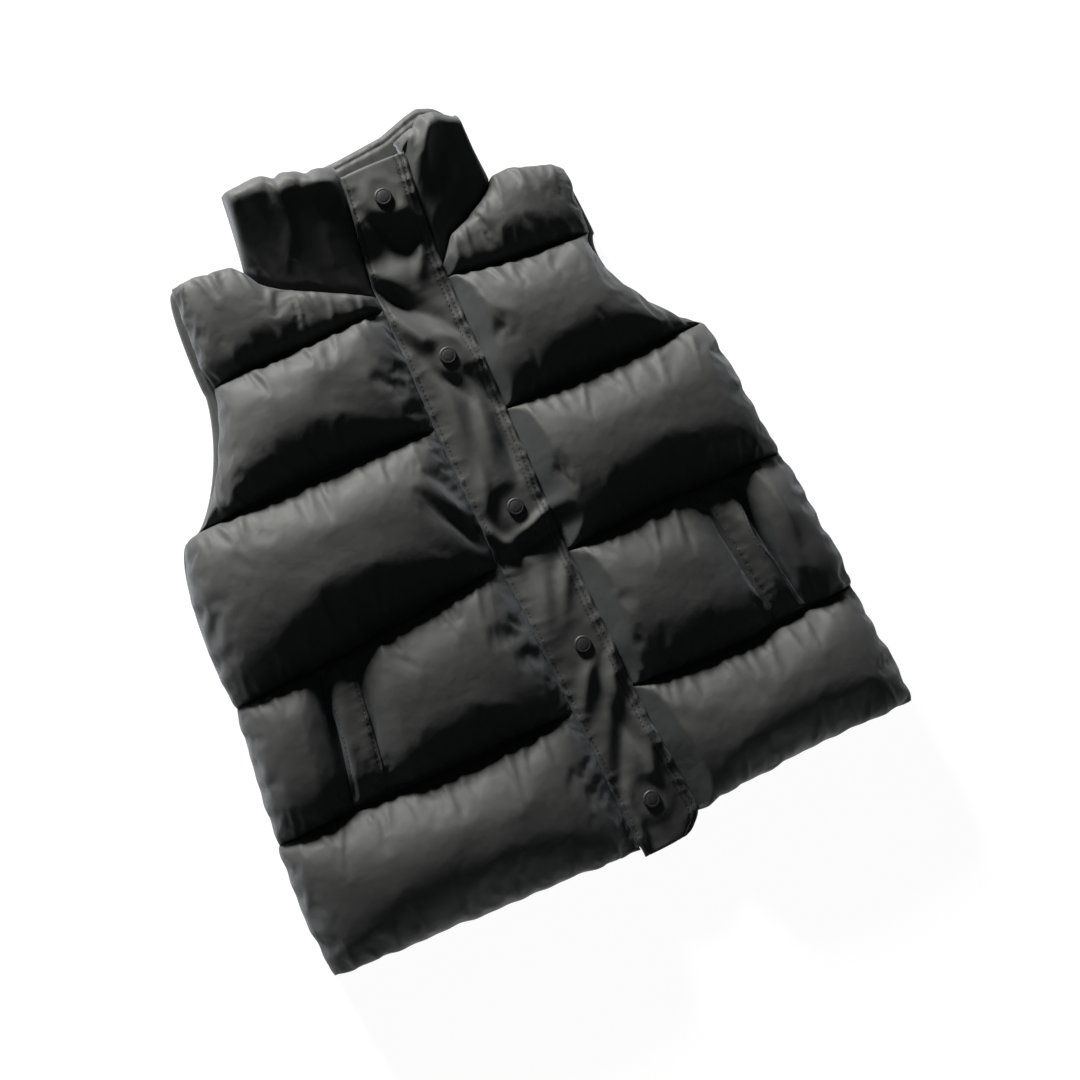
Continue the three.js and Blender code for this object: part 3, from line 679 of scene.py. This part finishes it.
def rounded_rim(distance, reach, depth):
    """How far a rounded edge lies below its face, at this distance in from the edge."""
    return depth * (1 - round_in(distance, reach, 2))


def pad_of(lower, upper):
    """The points and faces of a closed pad between two grids of the same rows and columns."""
    rows, columns = lower.shape[:2]
    rim = rim_of(rows, columns)
    points = np.concatenate([lower.reshape(-1, 3), upper.reshape(-1, 3)])
    above = rim + rows * columns
    wall = np.stack([rim, np.roll(rim, -1), np.roll(above, -1), above], -1)
    quads = grid_faces(rows, columns)
    faces = np.concatenate([quads, quads[:, ::-1] + rows * columns, wall[:, ::-1]])
    p = points[faces]
    volume = np.einsum("ij,ij->i", p[:, 0], np.cross(p[:, 1], p[:, 2])).sum()
    return points, faces if volume > 0 else faces[:, ::-1]


def back_side(front, v):
    """How far out the back reaches on one side, and the height up the vest, at each v."""
    out = np.array([front["top"]["x"][-1], *front["lines"]["out"]], float)
    level = np.array([front["top"]["y"][-1], *front["lines"]["y_out"]], float)
    k = np.minimum(v.astype(int), PUFFS - 1)
    t = v - k
    bulge, peak = np.array(front["puffs"]["bulge"], float)[k], np.array(front["puffs"]["peak"])[k]
    past = np.interp(v, np.arange(PUFFS + 1), BACK_PAST_FRONT)
    x = mix(out[k], out[k + 1], t) + bulge * hump(t, peak) ** np.where(bulge < 0, 1.5, 1) + past
    return front["sign"] * x, mix(level[k], level[k + 1], t)


share = crowded(BACK_ROWS_A_PUFF + 1, 0.08)
v = np.concatenate([k + share[:-1] for k in range(PUFFS)] + [[PUFFS - 1e-9]])
v, u = np.meshgrid(v, crowded(BACK_COLUMNS + 1, 0.06), indexing="ij")
right_x, right_y = back_side(RIGHT_FRONT, v)
left_x, left_y = back_side(LEFT_FRONT, v)
x = mix(right_x, left_x, u)
right_top, left_top = RIGHT_FRONT["top"], LEFT_FRONT["top"]
top_x = [-far for far in right_top["x"][SHOULDER][::-1]] + BACK_NECK["x"] + left_top["x"][SHOULDER]
top_y = right_top["y"][SHOULDER][::-1] + BACK_NECK["y"] + left_top["y"][SHOULDER]
top_line = np.interp(mix(top_x[0], top_x[-1], u), top_x, top_y) - 0.3
hem_line = np.zeros_like(x)
for front in (RIGHT_FRONT, LEFT_FRONT):
    lines = front["lines"]
    across = np.clip(np.abs(x) / lines["out"][-1], 0, 1)
    sag = lines["sag"][-1] * 4 * across * (1 - across)
    level = mix(lines["y_in"][-1], lines["y_out"][-1], across) - sag
    hem_line = np.where(x * front["sign"] >= 0, level, hem_line)
quilted = mix(mix(right_y, left_y, u), hem_line, np.clip(v - (PUFFS - 1), 0, 1))
y = mix(top_line, quilted, np.clip(v, 0, 1))
t = v - np.minimum(v.astype(int), PUFFS - 1)
off_line = np.minimum(t, 1 - t) * PUFF_TALL
from_edge = np.minimum(np.minimum(u, 1 - u) * (left_x - right_x), np.minimum(v, PUFFS - v) * PUFF_TALL)
rng = np.random.default_rng(21)
soft = sum(gathers(x, way * PUFF_TALL, rng, (-290, 290), BACK_GATHER) for way in (1 - t, t))
groove = BACK_GROOVE * (1 - round_in(off_line, BACK_GROOVE_REACH)) + soft * np.exp(-off_line / 9)
rim = rounded_rim(from_edge, BACK_RIM_REACH, BACK_RIM_DEPTH)
lower = np.stack([x, y, np.maximum(np.maximum(groove, rim), 0) + FLOOR_CLEAR], -1)
upper = np.stack([x, y, BACK_THICK - rim], -1)
points, faces = pad_of(lower, upper)
back = mesh_object("back_padded", points, faces, shell_cloth)
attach(back, "root")
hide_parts("back_panel")


# Collar
# A padded stand collar, sewn to the neckline and folded flat at both shoulders, so that its back half lies
# under its front half. The placket runs up over its middle, and its top edge is nipped in at the stitching.

COLLAR_SIDES = {
    "right": {
        "neck": {"x": [9, 33, 59, 82, 98, 106], "y": [206, 219, 233, 245, 258, 272]},
        "fold_foot": 106,
        "fold_top": 95,
        "top": [344, 346, 341, 334, 330],
        "nips": [(0.28, 0.04, 3), (0.58, 0.045, 4)],
        "folds": [
            (-56, 332, 78, 26, 4, -3),
            (-27, 326, 70, 26, 4, -3),
            (-12, 312, -28, 44, 6, 3.5),
            (-8, 296, 38, 34, 6, -3),
            (-66, 268, 66, 40, 6, 2.5),
        ],
    },
    "left": {
        "neck": {"x": [56, 76, 97, 116, 127, 133], "y": [206, 231, 239, 250, 258, 266]},
        "fold_foot": 133,
        "fold_top": 128,
        "top": [328, 339, 341, 333, 329],
        "nips": [(0.35, 0.06, 3)],
        "folds": [
            (82, 318, 48, 44, 5, -4),
            (90, 312, 62, 50, 6, 4),
            (84, 262, 48, 60, 7, 4),
            (98, 262, 40, 56, 7, -3),
        ],
    },
}
COLLAR_BACK_TOP = {"x": [-98, -20, 10, 60, 90, 104, 118, 127], "y": [344, 336, 337, 342, 351, 354, 347, 337]}
COLLAR_CROWN = 34
COLLAR_FULLEST = 0.8  # the share of its height, from the neckline, at which the band is fullest
COLLAR_FILLED = 0.45  # how far the band goes from its own form to the one that its filling gives it
COLLAR_END_SHARE = 0.45  # the share of its height that it has beside the placket
COLLAR_END_ROUND = 26
COLLAR_GATHER = 1.8
COLLAR_ROWS = 52
COLLAR_COLUMNS = 45
COLLAR_BACK_COLUMNS = 61
COLLAR_TURN_STEPS = 14
COLLAR_LAYER = FRONT_FLOOR - 0.15  # the height between its front half and its back half
COLLAR_SEAM = 0.3


def collar_half(side, sign, seed):
    """The outer and inner faces of half the band, with the distance from the seams and what isn't sewn. They
    are grids whose rows run from the neckline up and whose columns run from the placket to the end of the
    shoulder fold. In front the band slopes up to a rounded top. At the shoulder its section turns half a
    circle, from over the middle level to under it."""
    spec = COLLAR_SIDES[side]
    rng = np.random.default_rng(seed)
    neck = spec["neck"]
    run_end = neck["x"][4]
    reach = spec["fold_foot"] - run_end
    rows, columns = np.linspace(0, 1, COLLAR_ROWS + 1), np.linspace(0, 1, COLLAR_COLUMNS + 1)
    v, f = np.meshgrid(rows, columns, indexing="ij")
    x_foot = mix(neck["x"][0], run_end, f)
    y_foot = np.interp(x_foot, neck["x"], neck["y"]) + COLLAR_SEAM
    y_top = np.interp(1 - f, np.linspace(0, 1, 5), spec["top"])
    for place, width, depth in spec["nips"]:
        y_top = y_top - depth * np.exp(-(((f - place) / width) ** 2))
    y = mix(y_foot, y_top, v)
    flap = sign * flap_value(side, mix(NECK_FRONT_Y, spec["top"][-1], v)) + COLLAR_SEAM
    x = x_foot + (flap - neck["x"][0]) * (1 - f) + (spec["fold_top"] - spec["fold_foot"]) * v * f
    slope = np.minimum(v / COLLAR_FULLEST, 1)
    upright = round_in(v, 0.1, 2) * mix(0.08, 1, slope) * round_in(1 - v, 0.18, 2)
    beside_flap = mix(COLLAR_END_SHARE, 1, round_in(x - flap, COLLAR_END_ROUND, 2))
    puff = COLLAR_CROWN * upright * beside_flap * mix(1, 0.8, f**4)
    height = y_top - y_foot
    for off in (v * height, (1 - v) * height):
        puff = puff + gathers(x, off, rng, (0, 140), COLLAR_GATHER) * np.clip((x - flap) / 10, 0, 1)
    puff = puff + folds(sign * x, y, spec["folds"]) * np.clip(upright, 0, 1)
    z = FRONT_FLOOR + SEAM_THICK + puff
    off_seam = np.minimum(v, 1 - v) * height
    outer, inner = [np.stack([x, y, z], -1)], [np.stack([x, y, np.full_like(z, FRONT_FLOOR)], -1)]
    ends_x, ends_z = x[:, -1], z[:, -1]
    level = v[:, 0]
    turns = np.pi * np.arange(1, COLLAR_TURN_STEPS) / COLLAR_TURN_STEPS
    for turn in turns:
        under = turn > np.pi / 2
        foot_x = run_end + reach * np.sin(turn)
        back_y = np.interp(sign * foot_x, BACK_NECK["x"], BACK_NECK["y"])
        foot_y = back_y if under else np.interp(foot_x, neck["x"], neck["y"])
        back_top = np.interp(sign * run_end, COLLAR_BACK_TOP["x"], COLLAR_BACK_TOP["y"])
        top_y = mix(spec["top"][0], back_top, turn / np.pi)
        rise = (COLLAR_LAYER if under else ends_z - COLLAR_LAYER) + 0 * level
        line_y = mix(foot_y + COLLAR_SEAM, top_y, level)
        bend = np.sin(turn)
        outer_z = COLLAR_LAYER + np.cos(turn) * rise
        outer.append(np.stack([ends_x + reach * bend, line_y, outer_z], -1)[:, None])
        inner_z = np.full_like(line_y, COLLAR_LAYER + 0.15 * np.cos(turn))
        inner.append(np.stack([ends_x + 0.5 * bend, line_y, inner_z], -1)[:, None])
    turn_off = np.repeat(off_seam[:, -1:], len(turns), 1)
    loose_turn = np.repeat(np.cos(turns)[None] > -0.3, len(level), 0)
    free = np.concatenate([np.ones_like(off_seam), loose_turn], 1)
    outer, inner = np.concatenate(outer, 1), np.concatenate(inner, 1)
    for grid in (outer, inner):
        grid[..., 0] *= sign
    return outer, inner, np.concatenate([off_seam, turn_off], 1), free > 0


COLLAR_WIDE = 240
COLLAR_RIM_REACH = 14
COLLAR_RIM_DEPTH = 6.5
COLLAR_SLACK = 1.5  # how far the back half's inner face lies below the front's underside
COLLAR_STITCH_IN = 8  # the topstitching, in from the top edge, and how far it sinks in
COLLAR_STITCH_SINK = 1.2

right_half = collar_half("right", -1, 31)
left_half = collar_half("left", 1, 32)
right_spec, left_spec = COLLAR_SIDES["right"], COLLAR_SIDES["left"]
right_run, left_run = right_spec["neck"]["x"][4], left_spec["neck"]["x"][4]
level = np.linspace(0, 1, COLLAR_ROWS + 1)[:, None]
across = np.linspace(0, 1, COLLAR_BACK_COLUMNS + 1)[None, 1:-1]
foot_x = mix(-right_run, left_run, across)
right_end = -(right_run + (right_spec["fold_top"] - right_spec["fold_foot"]) * level)
left_end = left_run + (left_spec["fold_top"] - left_spec["fold_foot"]) * level
x = mix(right_end, left_end, across)
y_foot = np.interp(foot_x, BACK_NECK["x"], BACK_NECK["y"]) + COLLAR_SEAM
y_top = np.interp(foot_x, COLLAR_BACK_TOP["x"], COLLAR_BACK_TOP["y"])
y = mix(y_foot, y_top, level)
from_rim = np.minimum(level, 1 - level) * (y_top - y_foot)
past_fold = ease(np.minimum(across, 1 - across) * COLLAR_WIDE / 30)
rim = rounded_rim(from_rim, COLLAR_RIM_REACH, COLLAR_RIM_DEPTH) * past_fold
nip = gathers(x, np.maximum(y_top - y, 0), np.random.default_rng(33), (-110, 130), 2.0) * past_fold
back_outer = np.stack([x, y, rim], -1)
topstitch = COLLAR_STITCH_SINK * np.exp(-(((y_top - y - COLLAR_STITCH_IN) / 1.6) ** 2))
back_inner = np.stack([x, y, BACK_THICK - rim - (COLLAR_SLACK + topstitch) * past_fold + nip], -1)
outer = np.concatenate([right_half[0], back_outer, left_half[0][:, ::-1]], 1)
inner = np.concatenate([right_half[1], back_inner, left_half[1][:, ::-1]], 1)
off_seam = np.concatenate([right_half[2], np.zeros_like(x), left_half[2][:, ::-1]], 1)
free = np.concatenate([right_half[3], np.zeros(x.shape, bool), left_half[3][:, ::-1]], 1)
free[[0, -1]] = False
free[:, [0, -1]] = False
rows, columns = outer.shape[:2]
faces = grid_faces(rows, columns)
settled = filled(outer.reshape(-1, 3), faces, ~free.ravel(), off_seam.ravel(), grow=0.005, grow_at_seam=0.07)
settled = mix(outer, settled.reshape(rows, columns, 3), COLLAR_FILLED)
settled[..., 2] = np.maximum(settled[..., 2], 0)
points, faces = pad_of(tucked(refined(settled)), refined(inner))
collar = mesh_object("collar_padded", points, faces, shell_cloth)
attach(collar, "root")
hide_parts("collar")


# Placket flap
# Two layers of shell cloth folded at the free edge and topstitched, with the snap caps through it. It is sewn
# to the right front and lies over the under-placket, creased from long wear and lifted a little at its edge.

STITCH_IN = (4.5, 9.5)  # the two lines of topstitching, in from the free edge
STITCH_IN_SEWN = 4
STITCH_SINK = 0.9
FLAP_ROWS = 420
FLAP_COLUMNS = 51
FLAP_CROWDING = 0.035


def tucks(y, off, seed, reach, height):
    """Small uneven puckers that run in from a stitched edge."""
    return gathers(y, off, np.random.default_rng(seed), (-350, 320), height) * np.exp(-off / reach)


flap_shares = crowded(FLAP_COLUMNS, FLAP_CROWDING)
y, u = np.meshgrid(np.linspace(FLAP_TOP_Y, FLAP_FOOT_Y, FLAP_ROWS), flap_shares, indexing="ij")
x, y, z = flap_point(u, y)
wide = x[:, -1:] - x[:, :1]
z = z + tucks(y, (1 - u) * wide, 41, 8, 2.4) + tucks(y, u * wide, 42, 8, 1.8)
for line in STITCH_IN:
    z = z - STITCH_SINK * np.exp(-((((1 - u) * wide - line) / 1.1) ** 2))
z = z - STITCH_SINK * np.exp(-(((u * wide - STITCH_IN_SEWN) / 1.1) ** 2))
ends = np.minimum(FLAP_TOP_Y - y, y - FLAP_FOOT_Y)
z = z - rounded_rim(np.minimum(np.minimum(u, 1 - u) * wide, ends), 2.2, 0.9)
x = x + (0.5 * np.sin(y / 9) + 0.4 * np.sin(y / 3.7 + 1)) * u**4
flap_grid = np.stack([x, y, z], -1)
points, faces = pad_of(flap_grid - (0, 0, FLAP_THICK), flap_grid)
flap = mesh_object("placket_flap", points, faces, shell_cloth)
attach(flap, "root")
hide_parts("placket")


# Under-placket
# The lightly padded strip under the flap, which carries the lower halves of the snaps. Its edges round down
# to the back panel.

UNDER_TOP_Y = FLAP_TOP_Y - 1
UNDER_FOOT_Y = FLAP_FOOT_Y + 1
UNDER_IN_RIGHT = 1  # how far its edges lie inside the flap's
UNDER_IN_LEFT = 11
UNDER_GAP = 0.5

y, u = np.meshgrid(np.linspace(UNDER_TOP_Y, UNDER_FOOT_Y, 170), np.linspace(0, 1, 27), indexing="ij")
right, left = flap_edges(y)
x = mix(right + UNDER_IN_RIGHT, left - UNDER_IN_LEFT, u)
_, _, z = flap_point((x - right) / (left - right), y)
wide = left - right - (UNDER_IN_RIGHT + UNDER_IN_LEFT)
drop = rounded_rim(np.minimum(u, 1 - u) * wide, 14, 7) + rounded_rim(UNDER_TOP_Y - y, 24, 13)
drop = drop + rounded_rim(y - UNDER_FOOT_Y, 9, 6)
upper = np.stack([x, y, np.maximum(z - FLAP_THICK - UNDER_GAP - drop, FRONT_FLOOR + 1)], -1)
lower = np.stack([x, y, np.full_like(z, FRONT_FLOOR + 0.1)], -1)
points, faces = pad_of(lower, upper)
under = mesh_object("under_placket_padded", points, faces, shell_cloth)
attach(under, "root")
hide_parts("under_placket")


# Pocket welts
# A folded strip of shell cloth over each pocket mouth, stitched down along its inner side and at both ends
# and open along its outer side.

WELT_THICK = 1.2
WELT_LIFT = 1.8  # how far the strip lies above its puff, and how much more at its open edge
WELT_GAPE = 2.6
WELT_COLUMNS = 31
WELT_SMOOTHING = ((0, 7), (1, 5))  # for each axis of the grid, how often the strip spans its hollows

welt_grids = {}
for front, seed in ((RIGHT_FRONT, 51), (LEFT_FRONT, 52)):
    grid = front_grids[front["name"]]
    sign, welt = front["sign"], front["welt"]
    span = grid[2 * POCKET_PUFF * PUFF_ROWS + 2 : 2 * (POCKET_PUFF + 1) * PUFF_ROWS - 1]
    t = np.linspace(0, 1, len(span))[:, None]
    share = np.linspace(0, 1, WELT_COLUMNS)[None]
    turned = welt["turned_back"] * np.exp(-(((t - 0.45) / 0.17) ** 2))
    x = welt["middle"] - WELT_HALF + (2 * WELT_HALF - turned) * share + welt["slant"] * (2 * t - 1)
    y, z = np.empty_like(x), np.empty_like(x)
    for r, line in enumerate(span):
        order = np.argsort(line[:, 0] * sign)
        y[r] = np.interp(x[r], line[order, 0] * sign, line[order, 1])
        z[r] = np.interp(x[r], line[order, 0] * sign, line[order, 2])
    for axis, passes in WELT_SMOOTHING:
        for _ in range(passes):
            g = np.moveaxis(z, axis, 0)
            g[1:-1] = np.maximum(g[1:-1], 0.5 * g[1:-1] + 0.25 * (g[:-2] + g[2:]))
    off_inner, off_outer = share * 2 * WELT_HALF, (1 - share) * 2 * WELT_HALF
    long_way = t * np.abs(y[-1].mean() - y[0].mean())
    pinch = np.minimum(t, 1 - t) * PUFF_TALL
    lift = WELT_LIFT + WELT_GAPE * np.exp(-((off_outer / 12) ** 2)) * ease(pinch / 26)
    lift = lift + turned * 0.25 * share**3
    crease = tucks(long_way * 2.2 - 140 + 0 * share, off_inner + 0 * t, seed, 14, 1.6)
    crease = crease + gathers(x, pinch + 0 * share, np.random.default_rng(seed), (150, 240), 2.0)
    z = z + lift + np.maximum(crease, 0) * 0.8
    z = z - rounded_rim(np.minimum(off_inner, off_outer) + 0 * t, 2, 0.8)
    z = z - 0.6 * np.exp(-(((off_inner - 3) / 1) ** 2)) - 0.6 * np.exp(-(((off_outer - 3) / 1) ** 2))
    upper = np.stack([sign * x, y, z], -1)
    lower = np.stack([sign * x, y, z - WELT_THICK], -1)
    points, faces = pad_of(lower, upper)
    strip = mesh_object("pocket_welt_" + front["side"] + "_strip", points, faces, shell_cloth)
    welt_grids[front["side"]] = upper
    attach(strip, "root")
    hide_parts("pocket_welt_" + front["side"])


# Snap caps
# Five plain round caps of black-painted metal: a rolled rim, a shallow ring and a low domed middle. They are
# spun from one profile.

SNAP_PROFILE = {  # rings from the low dome out over the rim, down and in underneath
    "radius": [1.6, 3.2, 4.4, 5.1, 5.5, 5.9, 6.4, 7.0, 7.5, 7.9, 8, 7.8, 7.3, 4],
    "height": [2.88, 2.8, 2.66, 2.5, 2.38, 2.42, 2.55, 2.45, 2.1, 1.5, 0.9, 0.4, 0.1, 0.05],
}
SNAP_TOP = 2.9  # the poles in the middle of the dome and of the underside
SNAP_FOOT = 0.05
SNAP_SIDES = 56
SNAP_GAP = 0.25

snap_paint, nodes, link = shader_of("snap_paint")
shader = nodes["Principled BSDF"]
where = nodes.new("ShaderNodeTexCoord").outputs["Object"]
worn = nodes.new("ShaderNodeValToRGB")
worn.color_ramp.elements[0].position = 0.35
worn.color_ramp.elements[0].color = (0.012, 0.012, 0.013, 1)
worn.color_ramp.elements[1].position = 0.8
worn.color_ramp.elements[1].color = (0.03, 0.03, 0.032, 1)
link(noise_node(nodes, link, where, 420, 4), worn.inputs["Fac"])
link(worn.outputs["Color"], shader.inputs["Base Color"])
shader.inputs["Metallic"].default_value = 0.25
shader.inputs["Roughness"].default_value = 0.55
link(bump_node(nodes, link, noise_node(nodes, link, where, 1600, 3), 0.00012), shader.inputs["Normal"])

angle = np.linspace(0, 2 * np.pi, SNAP_SIDES, endpoint=False)
ring = np.stack([np.cos(angle), np.sin(angle)], -1)
for number, (snap_x, snap_y) in enumerate(SNAP_PLACES, 1):
    profile = zip(SNAP_PROFILE["radius"], SNAP_PROFILE["height"])
    rings = [np.column_stack([ring * radius, np.full(SNAP_SIDES, height)]) for radius, height in profile]
    points = np.concatenate([*rings, [[0, 0, SNAP_TOP], [0, 0, SNAP_FOOT]]])
    points = points + (snap_x, snap_y, snap_seat(snap_y) + SNAP_GAP)
    turn = np.arange(SNAP_SIDES)
    after = np.roll(turn, -1)
    count = len(rings)
    faces = [
        f
        for k in range(count - 1)
        for f in np.stack([turn, turn + SNAP_SIDES, after + SNAP_SIDES, after], -1) + k * SNAP_SIDES
    ]
    top, under = count * SNAP_SIDES, count * SNAP_SIDES + 1
    last = (count - 1) * SNAP_SIDES
    faces += [(a, b, top) for a, b in zip(turn, after)]
    faces += [(b, a, under) for a, b in zip(turn + last, after + last)]
    cap = mesh_object(f"snap_cap_{number}", points, faces, snap_paint)
    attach(cap, "root")
    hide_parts(f"snap_{number}")


# Stitching
# Black sewing thread: the quilting lines of both fronts, the placket's topstitching and both edges of the
# welts. Each stitch is a short rounded thread that dips into the cloth at both ends.

STITCH_PITCH = 4.2
STITCH_LONG = 3.0
THREAD_RADIUS = 0.45

thread_black, nodes, link = shader_of("thread_black")
shader = nodes["Principled BSDF"]
where = nodes.new("ShaderNodeTexCoord").outputs["Object"]
ply = nodes.new("ShaderNodeTexWave")
ply.inputs["Scale"].default_value = 900
ply.bands_direction = "DIAGONAL"
link(where, ply.inputs["Vector"])
shader.inputs["Base Color"].default_value = (0.008, 0.008, 0.009, 1)
shader.inputs["Roughness"].default_value = 0.6
link(bump_node(nodes, link, ply.outputs["Fac"], 0.00008), shader.inputs["Normal"])


THREAD_ALONG = np.array([-0.42, -0.25, 0, 0.25, 0.42])  # where along a stitch its rings are, and how thick
THREAD_THICK = np.array([0.55, 0.9, 1, 0.9, 0.55])
THREAD_ENDS = np.array([-0.5, 0.5])
THREAD_SIDES = 6
THREAD_SINK = 1.6  # how steeply a stitch dips towards its ends
THREAD_END_SINK = 0.5


def stitches(name, paths):
    """Rounded threads along each path, joined in one mesh. A stitch has five rings of six points and two
    poles, is thickest in the middle, and sinks at both ends."""
    around = np.linspace(0, 2 * np.pi, THREAD_SIDES, endpoint=False)
    body = []
    for path in paths:
        length = np.concatenate([[0], np.cumsum(np.linalg.norm(np.diff(path, axis=0), axis=1))])
        middles = np.arange(STITCH_PITCH, length[-1] - STITCH_PITCH, STITCH_PITCH)
        before, centre, after = (
            np.stack([np.interp(middles + step, length, path[:, axis]) for axis in range(3)], -1)
            for step in (-0.8, 0, 0.8)
        )
        way = after - before
        way /= np.linalg.norm(way, axis=1)[:, None]
        side = np.cross(way, (0, 0, 1.0))
        side /= np.linalg.norm(side, axis=1)[:, None]
        up = np.cross(side, way)
        centre, way, side, up = (vector[:, None] for vector in (centre, way, side, up))
        a = THREAD_ALONG[:, None]
        spine = centre + way * STITCH_LONG * a - up * THREAD_SINK * a * a
        circle = np.cos(around)[:, None] * side + np.sin(around)[:, None] * up
        rings = spine[:, :, None] + THREAD_RADIUS * THREAD_THICK[:, None, None] * circle[:, None]
        ends = centre + way * STITCH_LONG * THREAD_ENDS[:, None] - up * THREAD_END_SINK
        body.append(np.concatenate([rings.reshape(len(rings), -1, 3), ends], 1))
    body = np.concatenate(body)
    count, size = body.shape[:2]
    j = np.arange(THREAD_SIDES)
    beside = np.roll(j, -1)
    starts = THREAD_SIDES * np.arange(len(THREAD_ALONG) - 1)[:, None]
    here, there = starts + j, starts + beside
    walls = np.stack([here, there, there + THREAD_SIDES, here + THREAD_SIDES], -1)
    first, second = size - 2, size - 1
    last = starts[-1] + THREAD_SIDES
    caps = np.concatenate([
        np.stack([beside, j, np.full(THREAD_SIDES, first)], -1),
        np.stack([last + j, last + beside, np.full(THREAD_SIDES, second)], -1),
    ])
    offsets = (np.arange(count) * size)[:, None, None]
    faces = [*(walls.reshape(1, -1, 4) + offsets).reshape(-1, 4)[:, ::-1]]
    faces += [*(caps[None] + offsets).reshape(-1, 3)[:, ::-1]]
    sewing = mesh_object(name, body.reshape(-1, 3), faces, thread_black)
    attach(sewing, "root")


THREAD_PROUD = 0.2  # how far the middle of a stitch stands above the cloth
quilting = []
for grid in front_grids.values():
    for line in range(1, PUFFS):
        quilting.append(grid[line * 2 * PUFF_ROWS + 1, 8:-5] + (0, 0, 0.3))
stitches("quilting_stitches", quilting)

flap_y = np.linspace(FLAP_TOP_Y - 4, FLAP_FOOT_Y + 5, 400)
right, left = flap_edges(flap_y)
wide = left - right
row_of = np.round((FLAP_TOP_Y - flap_y) / (FLAP_TOP_Y - FLAP_FOOT_Y) * (FLAP_ROWS - 1)).astype(int)
paths = []
for share in (*(1 - off / wide for off in STITCH_IN), STITCH_IN_SEWN / wide):
    path = [
        [np.interp(part, flap_shares, flap_grid[row, :, axis]) for axis in range(3)]
        for part, row in zip(share, row_of)
    ]
    paths.append(np.array(path) + (0, 0, THREAD_PROUD))
stitches("placket_stitches", paths)
welt_lines = [grid[2:-2, column] + (0, 0, THREAD_PROUD) for grid in welt_grids.values() for column in (3, -4)]
stitches("welt_stitches", welt_lines)
